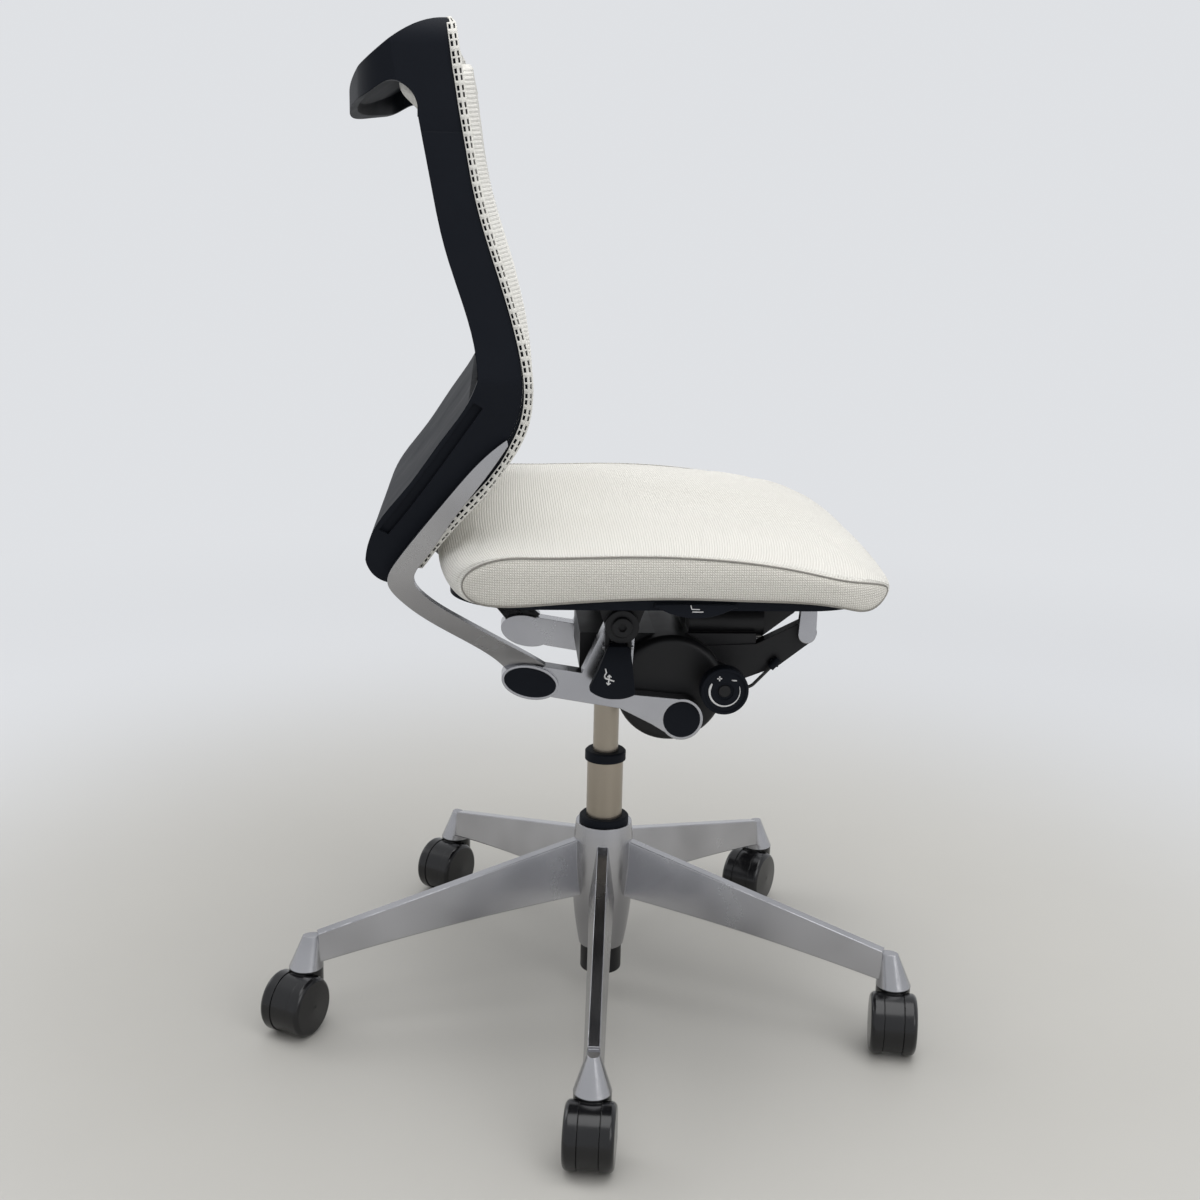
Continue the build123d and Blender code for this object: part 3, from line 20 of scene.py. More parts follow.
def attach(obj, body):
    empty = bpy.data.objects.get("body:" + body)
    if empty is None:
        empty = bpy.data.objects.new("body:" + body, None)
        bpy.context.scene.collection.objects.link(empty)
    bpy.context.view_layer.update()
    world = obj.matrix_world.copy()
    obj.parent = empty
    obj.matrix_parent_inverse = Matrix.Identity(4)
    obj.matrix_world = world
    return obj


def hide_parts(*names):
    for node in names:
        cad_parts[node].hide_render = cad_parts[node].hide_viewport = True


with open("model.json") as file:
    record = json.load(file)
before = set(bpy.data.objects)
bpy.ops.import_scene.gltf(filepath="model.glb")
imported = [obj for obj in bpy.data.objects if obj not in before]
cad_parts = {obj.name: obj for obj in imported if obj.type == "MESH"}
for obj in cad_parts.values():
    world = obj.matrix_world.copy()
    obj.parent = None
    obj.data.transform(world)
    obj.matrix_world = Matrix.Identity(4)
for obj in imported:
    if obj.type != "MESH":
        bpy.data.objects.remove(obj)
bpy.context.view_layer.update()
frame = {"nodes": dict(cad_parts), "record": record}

MM = 0.001
SPLINE_STEPS = 1200
log = logging.getLogger("swivel_chair")

Colour = tuple[float, float, float]
Array = np.ndarray
Material = bpy.types.Material
Piece = bpy.types.Object
Socket = bpy.types.NodeSocket
Finishes = dict[str, Material]


class Side(Enum):
    """The two sides of the chair, as the sign of Y."""

    RIGHT = -1.0
    LEFT = 1.0


# Curves and grids


def spline_at(points: Array, params: Array, closed: bool = False) -> Array:
    """Evaluate a cubic spline with continuous curvature through points.

    The knots are the summed chord lengths scaled to 0..1.  The second derivatives at the knots solve
    the usual three-term equations; an open spline has none at its ends, a closed one is periodic.

    Args:
        points: Points to pass through, one per row.
        params: Places along the spline, from 0 to 1.
        closed: Whether the spline returns to its first point.

    Returns:
        One row per parameter.
    """
    pts = np.vstack([points, points[:1]]) if closed else np.asarray(points, float)
    flat = pts.reshape(len(pts), -1)
    steps = np.linalg.norm(np.diff(flat, axis=0), axis=1)
    knots = np.concatenate([[0.0], np.cumsum(steps)]) / steps.sum()
    h = np.diff(knots)
    slope = np.diff(flat, axis=0) / h[:, None]
    count = len(h)
    size = count if closed else count + 1
    i = np.arange(0 if closed else 1, count)
    system = np.zeros((size, size))
    right = np.zeros((size, flat.shape[1]))
    system[i, i] = 2 * (h[i - 1] + h[i])
    system[i, (i + 1) % size] = h[i]
    system[i, i - 1] = h[i - 1]
    right[i] = 6 * (slope[i] - slope[i - 1])
    if not closed:
        system[0, 0] = system[count, count] = 1.0
    bend = np.linalg.solve(system, right)
    if closed:
        bend = np.vstack([bend, bend[:1]])
    seg = np.clip(np.searchsorted(knots, params, side="right") - 1, 0, count - 1)
    width = h[seg][:, None]
    b = (np.asarray(params)[:, None] - knots[seg][:, None]) / width
    a = 1 - b
    curve = a * flat[seg] + b * flat[seg + 1]
    curve += ((a**3 - a) * bend[seg] + (b**3 - b) * bend[seg + 1]) * width**2 / 6
    return curve.reshape((len(params),) + pts.shape[1:])


def lengths(points: Array) -> Array:
    """Length along a path at each of its points, from 0."""
    return np.concatenate([[0.0], np.cumsum(np.linalg.norm(np.diff(points, axis=0), axis=1))])


def sample(want: Array, length: Array, columns: Array) -> Array:
    """Rows of a table at wanted lengths, each column straight between its rows."""
    return np.stack([np.interp(want, length, column) for column in columns.T], axis=1)


def read_off(table: tuple, at: Array) -> Array:
    """Values of a table of (place, value) pairs at some places, straight between its rows."""
    place, value = np.array(table, float).T
    return np.interp(at, place, value)


def even_path(points: Array, count: int) -> tuple[Array, Array]:
    """Points at equal steps along the spline through some points.

    Args:
        points: Points to pass through.
        count: How many points to return.

    Returns:
        The points, and the length along the spline at each.
    """
    dense = spline_at(points, np.linspace(0, 1, SPLINE_STEPS))
    length = lengths(dense)
    want = np.linspace(0, length[-1], count)
    return sample(want, length, dense), want


def placed(xz: Array, y: Array | float) -> Array:
    """Points in space from their place in the XZ plane and their Y."""
    return np.stack([xz[..., 0], np.broadcast_to(y, xz.shape[:-1]), xz[..., 1]], axis=-1)


def raised(path: Array, normal: Array, rise: Array, y: Array) -> Array:
    """Grid that stands in front of a path in the XZ plane, by a rise at each row and each Y."""
    return placed(path[:, None] + normal[:, None] * rise[..., None], y)


def forward_normals(path: Array) -> Array:
    """Unit normals of a path in the XZ plane that runs downwards, pointing forward."""
    along = np.gradient(path, axis=0)
    normal = np.stack([-along[:, 1], along[:, 0]], axis=1)
    return normal / np.linalg.norm(normal, axis=1, keepdims=True)


def rounded_edge(distance: Array, radius: float) -> Array:
    """Height of a quarter round of unit height at a distance in from an edge."""
    inward = np.clip(distance / radius, 0.0, 1.0)
    return np.sqrt(np.clip(1 - (1 - inward) ** 2, 0.0, 1.0))


def corner_cut(end: Array, radius: float) -> Array:
    """How far a round corner draws a side in, at a distance from the end of the side."""
    return radius - np.sqrt(np.clip(radius**2 - np.clip(radius - end, 0, radius) ** 2, 0, None))


def grid_faces(rows: int, cols: int, first: int = 0, flip: bool = False) -> Array:
    """Quads of an open grid of vertices stored row by row.

    Args:
        rows: Number of rows of vertices.
        cols: Number of columns of vertices.
        first: Index of the grid's first vertex.
        flip: Whether the quads turn the other way.

    Returns:
        Four vertex indices per quad.
    """
    r, c = np.meshgrid(np.arange(rows - 1), np.arange(cols - 1), indexing="ij")
    corner = r * cols + c
    quads = np.stack([corner, corner + 1, corner + cols + 1, corner + cols], axis=-1).reshape(-1, 4)
    return first + (quads[:, ::-1] if flip else quads)


@dataclass
class Patchwork:
    """Vertex grids gathered into one mesh, each with its own finish and cloth coordinates."""

    points: list[Array] = field(default_factory=list)
    faces: list[Array] = field(default_factory=list)
    cloth: list[Array] = field(default_factory=list)
    slots: list[Array] = field(default_factory=list)
    count: int = 0

    def add(self, grid: Array, cloth: Array | None = None, slot: int = 0, flip: bool = False) -> None:
        """Add a grid of points.

        Args:
            grid: Points in an array of rows, columns and 3.
            cloth: Flat position of each point on its cloth, rows, columns and 2.
            slot: Material index of its faces.
            flip: Whether its quads turn the other way.
        """
        rows, cols = grid.shape[:2]
        quads = grid_faces(rows, cols, self.count, flip)
        self.add_faces(grid.reshape(-1, 3), quads, cloth, slot)

    def add_faces(self, points: Array, quads: Array, cloth: Array | None = None, slot: int = 0) -> None:
        """Add points with quads that already index the whole mesh."""
        self.points.append(points)
        self.faces.append(quads)
        flat = np.zeros((len(points), 2)) if cloth is None else cloth.reshape(-1, 2)
        self.cloth.append(flat)
        self.slots.append(np.full(len(quads), slot, np.int32))
        self.count += len(points)

    def build(self, name: str, materials: list[Material], weld: float = 1e-5) -> Piece:
        """Make the object, close its seams and turn its faces outwards.

        Args:
            name: Name of the piece.
            materials: One material per slot.
            weld: Distance within which points become one, or 0 to leave them.

        Returns:
            The object, linked to the scene at the origin.
        """
        mesh = bpy.data.meshes.new(name)
        quads = np.concatenate(self.faces)
        mesh.from_pydata(np.concatenate(self.points), [], quads)
        layer = mesh.uv_layers.new(name="Cloth")
        layer.data.foreach_set("uv", np.concatenate(self.cloth)[quads.ravel()].astype(np.float32).ravel())
        mesh.polygons.foreach_set("material_index", np.concatenate(self.slots))
        mesh.polygons.foreach_set("use_smooth", np.ones(len(quads), bool))
        for material in materials:
            mesh.materials.append(material)
        if weld:
            shell = bmesh.new()
            shell.from_mesh(mesh)
            bmesh.ops.remove_doubles(shell, verts=shell.verts, dist=weld)
            bmesh.ops.dissolve_degenerate(shell, edges=shell.edges, dist=weld)
            bmesh.ops.recalc_face_normals(shell, faces=shell.faces)
            shell.to_mesh(mesh)
            shell.free()
        mesh.update()
        piece = bpy.data.objects.new(name, mesh)
        bpy.context.scene.collection.objects.link(piece)
        return piece


def coordinates(piece: Piece) -> Array:
    """Vertex positions of a piece, one row each."""
    values = np.zeros(len(piece.data.vertices) * 3, np.float32)
    piece.data.vertices.foreach_get("co", values)
    return values.reshape(-1, 3).astype(float)


def discard(piece: Piece) -> None:
    """Remove a helper piece with its mesh."""
    mesh = piece.data
    bpy.data.objects.remove(piece)
    bpy.data.meshes.remove(mesh)


def thicken(piece: Piece, thickness: float, offset: float = -1.0) -> None:
    """Give an open surface a thickness in millimetres, behind it unless the offset says otherwise."""
    solid = piece.modifiers.new("thickness", "SOLIDIFY")
    solid.thickness = thickness * MM
    solid.offset = offset


COVER_CLOTH = {
    "quality": 6, "mass": 0.25, "tension_stiffness": 30.0, "compression_stiffness": 30.0,
    "shear_stiffness": 12.0, "bending_stiffness": 1.0, "use_pressure": True,
}


def puff(piece: Piece, held: Array, cap: float, pressure: float = 4.0, frames: int = 20) -> None:
    """Let the cover of a padded piece swell like cloth under pressure, and keep the result.

    A copy of the mesh runs as cloth without gravity for some frames.  Each point's movement is then
    cut to the cap and added to the piece.

    Args:
        piece: The padded piece, a closed mesh.
        held: For each vertex, whether it is sewn or glued down.
        cap: Furthest that a point may move, in metres.
        pressure: Air pressure inside.
        frames: Number of simulated frames.
    """
    scene = bpy.context.scene
    twin = bpy.data.objects.new(piece.name + "_swelling", piece.data.copy())
    scene.collection.objects.link(twin)
    group = twin.vertex_groups.new(name="held")
    group.add([int(i) for i in np.flatnonzero(held)], 1.0, "REPLACE")
    cloth = twin.modifiers.new("swelling", "CLOTH")
    for key, value in COVER_CLOTH.items():
        setattr(cloth.settings, key, value)
    cloth.settings.uniform_pressure_force = pressure
    cloth.settings.vertex_group_mass = "held"
    cloth.settings.effector_weights.gravity = 0.0
    cloth.point_cache.frame_start = 1
    cloth.point_cache.frame_end = frames
    before = coordinates(piece)
    for step in range(1, frames + 1):
        scene.frame_set(step)
    solved = twin.evaluated_get(bpy.context.evaluated_depsgraph_get())
    moved = coordinates(solved) - before
    reach = np.linalg.norm(moved, axis=1, keepdims=True)
    after = before + moved * np.minimum(1.0, cap / np.maximum(reach, 1e-9))
    piece.data.vertices.foreach_set("co", after.astype(np.float32).ravel())
    piece.data.update()
    discard(twin)
    scene.frame_set(1)
    log.info("%s swelled by up to %.1f mm", piece.name, float(np.minimum(reach, cap).max()) / MM)


# Finishes


class Nodes:
    """A node tree, with short calls to add and join its nodes."""

    def __init__(self, tree: bpy.types.NodeTree) -> None:
        """Start with an empty tree."""
        self.tree = tree
        tree.nodes.clear()

    def join(self, value: object, target: Socket) -> None:
        """Link a socket to an input, or set the input to a value."""
        if isinstance(value, Socket):
            self.tree.links.new(value, target)
        else:
            target.default_value = value

    def node(self, kind: str, links: dict | None = None, **settings: object) -> bpy.types.Node:
        """Add a node.

        Args:
            kind: Node type.
            links: Input names or numbers, with sockets to link or values to set.
            settings: Attributes of the node.

        Returns:
            The node.
        """
        made = self.tree.nodes.new(kind)
        for key, value in settings.items():
            setattr(made, key, value)
        for key, value in (links or {}).items():
            self.join(value, made.inputs[key])
        return made

    def math(self, operation: str, a: object, b: object = 0.0) -> Socket:
        """One arithmetic step."""
        return self.node("ShaderNodeMath", {0: a, 1: b}, operation=operation).outputs[0]

    def mix(self, share: Socket, first: object, second: object) -> Socket:
        """Colour that goes from the first to the second with a share."""
        links = {0: share, 6: first, 7: second}
        return self.node("ShaderNodeMix", links, data_type="RGBA").outputs[2]

    def seen(self) -> Socket:
        """1 for a ray from the camera, through glass or from a reflection, else 0."""
        path = self.node("ShaderNodeLightPath")
        direct = self.math("MAXIMUM", path.outputs["Is Camera Ray"], path.outputs["Is Glossy Ray"])
        return self.math("MAXIMUM", direct, path.outputs["Is Transmission Ray"])

    def blend(self, share: Socket, first: bpy.types.Node, second: bpy.types.Node) -> Socket:
        """Mix of two shaders by a share."""
        links = {0: share, 1: first.outputs[0], 2: second.outputs[0]}
        return self.node("ShaderNodeMixShader", links).outputs["Shader"]


class Graph(Nodes):
    """A material's nodes, with short calls for the ones that the finishes use."""

    def __init__(self, name: str) -> None:
        """Start a material that holds one principled shader."""
        self.material = bpy.data.materials.new(name)
        self.material.use_nodes = True
        super().__init__(self.material.node_tree)
        self.output = self.node("ShaderNodeOutputMaterial")
        self.shader = self.node("ShaderNodeBsdfPrincipled")
        self.join(self.shader.outputs["BSDF"], self.output.inputs["Surface"])

    def place(self, scale: Colour = (1.0, 1.0, 1.0)) -> Socket:
        """Object coordinates, stretched by a scale."""
        source = self.node("ShaderNodeTexCoord").outputs["Object"]
        return self.node("ShaderNodeMapping", {"Vector": source, "Scale": scale}).outputs["Vector"]

    def flat(self) -> tuple[Socket, Socket]:
        """The two coordinates of the piece's own cloth, in metres."""
        source = self.node("ShaderNodeUVMap", uv_map="Cloth").outputs["UV"]
        split = self.node("ShaderNodeSeparateXYZ", {"Vector": source})
        return split.outputs["X"], split.outputs["Y"]

    def noise(self, place: Socket, scale: float, detail: float = 2.0) -> Socket:
        """Noise value from 0 to 1."""
        links = {"Vector": place, "Scale": scale, "Detail": detail, "Roughness": 0.55}
        return self.node("ShaderNodeTexNoise", links).outputs["Fac"]

    def weighed(self, *terms: tuple[Socket, float]) -> Socket:
        """Sum of values, each times its weight."""
        total = self.math("MULTIPLY", *terms[0])
        for term in terms[1:]:
            total = self.math("ADD", total, self.math("MULTIPLY", *term))
        return total

    def ridges(self, value: Socket, pitch: float) -> Socket:
        """Size of a sine along a length, with one ridge per pitch."""
        wave = self.math("SINE", self.math("MULTIPLY", value, math.pi / pitch))
        return self.math("ABSOLUTE", wave)

    def spread(self, value: Socket, low: float, high: float) -> Socket:
        """Map a value to low..high over the middle half of the noise range, 0.25 to 0.75."""
        links = {"Value": value, "From Min": 0.25, "From Max": 0.75, "To Min": low, "To Max": high}
        return self.node("ShaderNodeMapRange", links).outputs["Result"]

    def tint(self, value: Socket, dark: Colour, light: Colour) -> Socket:
        """Colour that goes from dark to light with a value."""
        return self.mix(value, (*dark, 1.0), (*light, 1.0))

    def bump(
        self, height: Socket, strength: float, depth: float, normal: Socket | None = None,
    ) -> Socket:
        """Normal with a relief of some depth in metres."""
        links = {"Height": height, "Strength": strength, "Distance": depth}
        if normal is not None:
            links["Normal"] = normal
        return self.node("ShaderNodeBump", links).outputs["Normal"]

    def soft_edges(self, radius: float) -> Socket:
        """Normal with edges rounded off to a radius."""
        return self.node("ShaderNodeBevel", {"Radius": radius}, samples=6).outputs["Normal"]

    def feed(self, **sockets: object) -> None:
        """Link or set inputs of the shader, named with underscores."""
        for key, value in sockets.items():
            self.join(value, self.shader.inputs[key.replace("_", " ")])


@dataclass(frozen=True)
class CastMetal:
    """Polished or satin metal, uneven in tone and in sheen."""

    name: str
    dark: Colour
    light: Colour
    smooth: float
    rough: float
    streak: Colour = (30.0, 30.0, 30.0)
    streak_scale: float = 22.0
    edge: float = 0.8 * MM
    cloud: float = 14.0
    marks: float = 0.5

    def build(self) -> Material:
        """Make the material: the sheen follows streaks and smudges, shared out by the marks."""
        g = Graph(self.name)
        smudge = g.noise(g.place(), self.cloud, 1.5)
        streaks = g.noise(g.place(self.streak), self.streak_scale)
        mixed = g.weighed((streaks, self.marks), (smudge, 1 - self.marks))
        g.feed(
            Base_Color=g.tint(smudge, self.dark, self.light),
            Roughness=g.spread(mixed, self.smooth, self.rough),
            Normal=g.soft_edges(self.edge),
            Metallic=1.0,
        )
        return g.material


@dataclass(frozen=True)
class MouldedPlastic:
    """Black plastic or paint with a fine grain, slightly uneven in sheen."""

    name: str
    dark: Colour
    light: Colour
    smooth: float
    rough: float
    gloss: float
    grain: float = 900.0
    relief: float = 0.12
    grain_depth: float = 0.15 * MM
    coat: float = 0.0
    coat_rough: float = 0.12
    cloud: float = 16.0
    edge: float = 1.2 * MM

    def build(self) -> Material:
        """Make the material."""
        g = Graph(self.name)
        place = g.place()
        cloud = g.noise(place, self.cloud, 4.0)
        grain = g.noise(place, self.grain)
        g.feed(
            Base_Color=g.tint(cloud, self.dark, self.light),
            Roughness=g.spread(cloud, self.smooth, self.rough),
            Normal=g.bump(grain, self.relief, self.grain_depth, g.soft_edges(self.edge)),
            Coat_Weight=self.coat,
            Coat_Roughness=self.coat_rough,
            Specular_IOR_Level=self.gloss,
        )
        return g.material


class Weave(Enum):
    """How the threads of a cover lie."""

    RIBS = "parallel ribs with finer threads along them"
    CELLS = "threads at right angles round square cells"


@dataclass(frozen=True)
class WovenCloth:
    """Woven cover whose relief follows its weave and whose colour is darker in the weave's valleys as painted
    shade, with fuzz and slow clouding of its own tone.
    """

    name: str
    dark: Colour
    light: Colour
    pitch: float
    depth: float
    thread: float = 1.3 * MM
    weave: Weave = Weave.RIBS
    # Weights in the colour of the weave's height (painted shade in its valleys), of fuzz and of clouding.
    valley_shade_fuzz_cloud_shares: Colour = (0.55, 0.3, 0.25)
    fuzz: float = 420.0
    fuzz_relief: float = 0.18
    fuzz_depth: float = 0.2 * MM
    cloud: float = 9.0
    rough: float = 0.92
    sheen: float = 0.15
    sheen_rough: float = 0.5
    thread_lift: float = 0.16
    cell_rise: float = 1.4
    relief: float = 0.7

    def height(self, g: Graph) -> Socket:
        """Height of the weave: ribs plus finer threads, or the lower of two crossing sets of ridges."""
        along, across = g.flat()
        ridges = g.ridges(along, self.pitch)
        if self.weave is Weave.RIBS:
            threads = g.math("SINE", g.math("MULTIPLY", across, 2 * math.pi / self.thread))
            return g.math("ADD", ridges, g.math("MULTIPLY", threads, self.thread_lift))
        crossing = g.ridges(across, self.pitch)
        rises = [g.math("MULTIPLY", each, self.cell_rise) for each in (ridges, crossing)]
        return g.math("MINIMUM", *rises)

    def build(self) -> Material:
        """Make the material: the colour is the weighed sum of the weave's height, which paints shade into its
        valleys, of fuzz and of clouding.
        """
        g = Graph(self.name)
        height = self.height(g)
        fuzz = g.noise(g.place(), self.fuzz, 3.0)
        cloud = g.noise(g.place(), self.cloud, 3.0)
        # Colour rises with the weave's height, so the valleys between ribs and cells are painted shade; fuzz
        # and clouding add the cloth's own uneven tone.
        tone = g.weighed(*zip((height, fuzz, cloud), self.valley_shade_fuzz_cloud_shares))
        weave = g.bump(height, self.relief, self.depth)
        g.feed(
            Base_Color=g.tint(tone, self.dark, self.light),
            Normal=g.bump(fuzz, self.fuzz_relief, self.fuzz_depth, weave),
            Roughness=self.rough,
            Sheen_Weight=self.sheen,
            Sheen_Roughness=self.sheen_rough,
        )
        return g.material


@dataclass(frozen=True)
class PlainYarn:
    """Yarn, print or lining: one tone with fibre noise."""

    name: str
    dark: Colour
    light: Colour
    rough: float = 0.9
    grain: float = 600.0
    relief: float = 0.25
    depth: float = 0.15 * MM

    def build(self) -> Material:
        """Make the material."""
        g = Graph(self.name)
        fibre = g.noise(g.place(), self.grain, 3.0)
        g.feed(
            Base_Color=g.tint(fibre, self.dark, self.light),
            Normal=g.bump(fibre, self.relief, self.depth),
            Roughness=self.rough,
        )
        return g.material


FINISHES = (
    CastMetal(
        "polished_aluminium", (0.29, 0.29, 0.305), (0.52, 0.52, 0.535), 0.19, 0.30, edge=0.7 * MM, marks=0.1,
    ),
    CastMetal(
        "satin_steel", (0.30, 0.265, 0.215), (0.40, 0.355, 0.295), 0.26, 0.42,
        streak=(60.0, 60.0, 1.5), edge=0.3 * MM,
    ),
    CastMetal("steel", (0.36, 0.36, 0.37), (0.50, 0.50, 0.52), 0.28, 0.46),
    MouldedPlastic("black_plastic", (0.0085, 0.0100, 0.0140), (0.0125, 0.0145, 0.0195), 0.48, 0.60, 0.06),
    MouldedPlastic(
        "black_metal", (0.006, 0.006, 0.007), (0.010, 0.010, 0.011), 0.34, 0.50, 0.3, grain=420.0, relief=0.2,
    ),
    MouldedPlastic(
        "black_nylon", (0.005, 0.005, 0.006), (0.008, 0.008, 0.009), 0.18, 0.28, 0.35,
        grain=700.0, relief=0.03, coat=0.2,
    ),
    PlainYarn("cable_jacket", (0.012, 0.012, 0.012), (0.022, 0.022, 0.022), 0.6),
    # Each cloth's colour runs from dark to light with its weave's height, which paints shade into the
    # valleys, plus fuzz and clouding.
    WovenCloth("seat_cloth", (0.60, 0.58, 0.53), (0.82, 0.81, 0.765), 2.4 * MM, 0.45 * MM),
    WovenCloth("pad_cloth", (0.66, 0.645, 0.60), (0.82, 0.81, 0.77), 1.4 * MM, 0.2 * MM, thread=1.4 * MM),
    WovenCloth(
        "side_cloth", (0.50, 0.475, 0.42), (0.76, 0.74, 0.68), 2.1 * MM, 0.5 * MM, weave=Weave.CELLS,
        valley_shade_fuzz_cloud_shares=(0.75, 0.2, 0.2), fuzz=500.0, fuzz_relief=0.15, cloud=12.0, rough=0.94, sheen=0.12,
    ),
    PlainYarn("mesh_cloth", (0.62, 0.605, 0.56), (0.80, 0.79, 0.745)),
    PlainYarn("seam_shadow", (0.20, 0.19, 0.17), (0.34, 0.325, 0.295)),
    PlainYarn("stitch_thread", (0.70, 0.69, 0.65), (0.84, 0.83, 0.79)),
    PlainYarn("hood_lining", (0.66, 0.645, 0.60), (0.80, 0.785, 0.74)),
    PlainYarn("white_print", (0.74, 0.74, 0.74), (0.86, 0.86, 0.86), 0.5),
)


def dress_nodes(finishes: Finishes) -> None:
    """Give each rigid node the finish of its slot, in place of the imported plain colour.

    Args:
        finishes: The built finishes; a slot's finish has the slot's name.
    """
    for entry in frame["record"]["subparts"]:
        mesh = frame["nodes"][entry["node"]].data
        mesh.materials.clear()
        mesh.materials.append(finishes[entry["material_slot"]])


# Seat


@dataclass
class SeatCushion:
    """Padded seat: one ribbed cover over front, top and rear, and a woven panel on each side.

    The two loops are matched point by point, from the middle of the underside round the rear.
    """

    middle_loop: tuple = (
        (-170, 498), (-167, 511), (-151, 520.5), (-90, 526), (5, 529.5), (95, 529), (165, 525), (208, 518.5),
        (232, 508), (243.5, 491), (236, 481.5), (190, 483), (112, 488), (40, 490), (-60, 488), (-136, 480.5),
        (-160, 482.5),
    )
    seam_loop: tuple = (
        (-143, 494), (-140.3, 504), (-127, 515.4), (-83, 523), (1, 524.8), (78, 522.3), (146, 513.3),
        (194.5, 503.3), (219.3, 497.7), (231, 488.3), (222.7, 480.4), (187, 480.5), (110.5, 486.8),
        (39.4, 488.4), (-61, 483.6), (-118, 480.6), (-135.6, 484),
    )
    front_tip: int = 9
    half_width: float = 239.0
    front: float = 240.0
    rear: float = -169.0
    corner: float = 70.0
    squareness: float = 2.2
    bulge: float = 3.5
    swell: float = 2.5
    along: int = 96
    across: int = 34
    gather: float = 2.2
    panel_rows: int = 15
    tip_height: float = 25.0
    sewn: float = 1.0
    glued_below: float = 491.0
    welt: float = 0.9
    welt_out: float = 0.5
    stitch_gap: float = 4.2
    stitch_length: float = 2.8
    stitch_half: float = 0.45
    stitch_rise: tuple = (0.05, 0.45, 0.45, 0.05)
    stitch_lean: float = 0.35
    stitch_thick: float = 0.25
    stitch_above: float = 490.0
    stitch_row: int = 4

    def plan_half(self, x: Array) -> Array:
        """Half width of the seat's plan at x, with round corners at front and rear."""
        over = np.maximum(x - (self.front - self.corner), (self.rear + self.corner) - x)
        over = np.clip(over, 0.0, self.corner)
        return self.half_width - self.corner + np.sqrt(self.corner**2 - over**2)

    def loops(self) -> tuple[Array, Array, Array]:
        """Middle loop and seam loop at equal parameters, and the length along the middle loop.

        Both run from the rear tip of the side panel over the top to its front tip, and back along
        the underside, with the same number of points each way.
        """
        paired = np.hstack([np.array(self.middle_loop, float), np.array(self.seam_loop, float)])
        ring = np.vstack([paired, paired[:1]])
        chords = np.cumsum(np.linalg.norm(np.diff(ring, axis=0), axis=1))
        turn = chords[self.front_tip - 1] / chords[-1]
        over = np.linspace(0, turn, self.along)
        under = np.linspace(turn, 1, self.along)
        both = spline_at(paired, np.concatenate([over, under[1:]]), closed=True)
        return both[:, :2], both[:, 2:], lengths(both[:, :2])

    def cover(self, middle: Array, seam: Array) -> Array:
        """Cover grid: each point of the middle loop goes to its seam point as the side is reached.

        With f the share of the half width, the share of the way to the seam is
        1 - (1 - f^n)^(1/n), a superellipse that stays flat and rounds over at the edge.
        """
        step = np.linspace(0, 1, self.across)
        share = 1 - (1 - step) ** self.gather
        share = np.concatenate([-share[:0:-1], share])
        size = np.abs(share)
        blend = 1 - np.clip(1 - size**self.squareness, 0, 1) ** (1 / self.squareness)
        xz = middle[:, None] + (seam - middle)[:, None] * blend[None, :, None]
        return placed(xz, self.plan_half(seam[:, 0])[:, None] * share[None])

    def panel(self, seam: Array, side: Side) -> Array:
        """Side panel: rows between the upper and the lower run of the seam, bulged outwards.

        With t from 0 to 1 down the panel, it stands out by bulge times (1 - (2t - 1)^4), less where
        the two runs come together at the tips.
        """
        upper = seam[: self.along]
        lower = seam[self.along - 1:][::-1]
        t = np.linspace(0, 1, self.panel_rows)[:, None]
        xz = upper[None] * (1 - t)[..., None] + lower[None] * t[..., None]
        tall = np.linalg.norm(upper - lower, axis=1)
        stand = self.bulge * np.clip(tall / self.tip_height, 0, 1)[None] * (1 - (2 * t - 1) ** 4)
        edge = self.plan_half(upper[:, 0])[None] * (1 - t) + self.plan_half(lower[:, 0])[None] * t
        return placed(xz, side.value * (edge + stand))

    def build(self, finishes: Finishes) -> list[Piece]:
        """Make the cushion, its seams and its stitch lines.

        Args:
            finishes: The built finishes.

        Returns:
            The pieces.
        """
        middle, seam, length = self.loops()
        cover = self.cover(middle, seam)
        cloth = np.stack(np.broadcast_arrays(length[:, None], cover[..., 1]), axis=-1) * MM
        work = Patchwork()
        work.add(cover * MM, cloth, 0)
        for side in Side:
            panel = self.panel(seam, side)
            work.add(panel * MM, panel[..., [0, 2]] * MM, 1)
        cushion = work.build("seat_cushion_cover", [finishes["seat_cloth"], finishes["side_cloth"]])
        points = coordinates(cushion) / MM
        held = (self.seam_distance(points, seam) < self.sewn) | (points[:, 2] < self.glued_below)
        puff(cushion, held, self.swell * MM)
        smooth = cushion.modifiers.new("smooth", "SUBSURF")
        smooth.levels = smooth.render_levels = 1
        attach(cushion, "seat")
        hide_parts("seat_cushion")
        trims = [self.seam_welt(seam, finishes), self.stitches(cover, finishes)]
        for trim in trims:
            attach(trim, "seat")
        return [cushion, *trims]

    def seam_distance(self, points: Array, seam: Array) -> Array:
        """Distance of each point from the seams on both sides."""
        line = placed(seam, self.plan_half(seam[:, 0]))
        folded = placed(points[:, [0, 2]], np.abs(points[:, 1]))
        return np.linalg.norm(folded[:, None, :] - line[None], axis=2).min(axis=1)

    def seam_welt(self, seam: Array, finishes: Finishes) -> Piece:
        """Thin shadow line of yarn in each seam: a small ring carried along the seam loop."""
        work = Patchwork()
        angle = np.linspace(0, 2 * np.pi, 7)
        along = np.gradient(seam, axis=0)
        out = np.stack([along[:, 1], -along[:, 0]], axis=1)
        out /= np.linalg.norm(out, axis=1, keepdims=True)
        xz = seam[:, None] + out[:, None] * self.welt * np.sin(angle)[None, :, None]
        for side in Side:
            y = side.value * (self.plan_half(seam[:, 0]) + self.welt_out)
            work.add(placed(xz, y[:, None] + self.welt * np.cos(angle)[None]) * MM)
        return work.build("seat_seams", [finishes["seam_shadow"]])

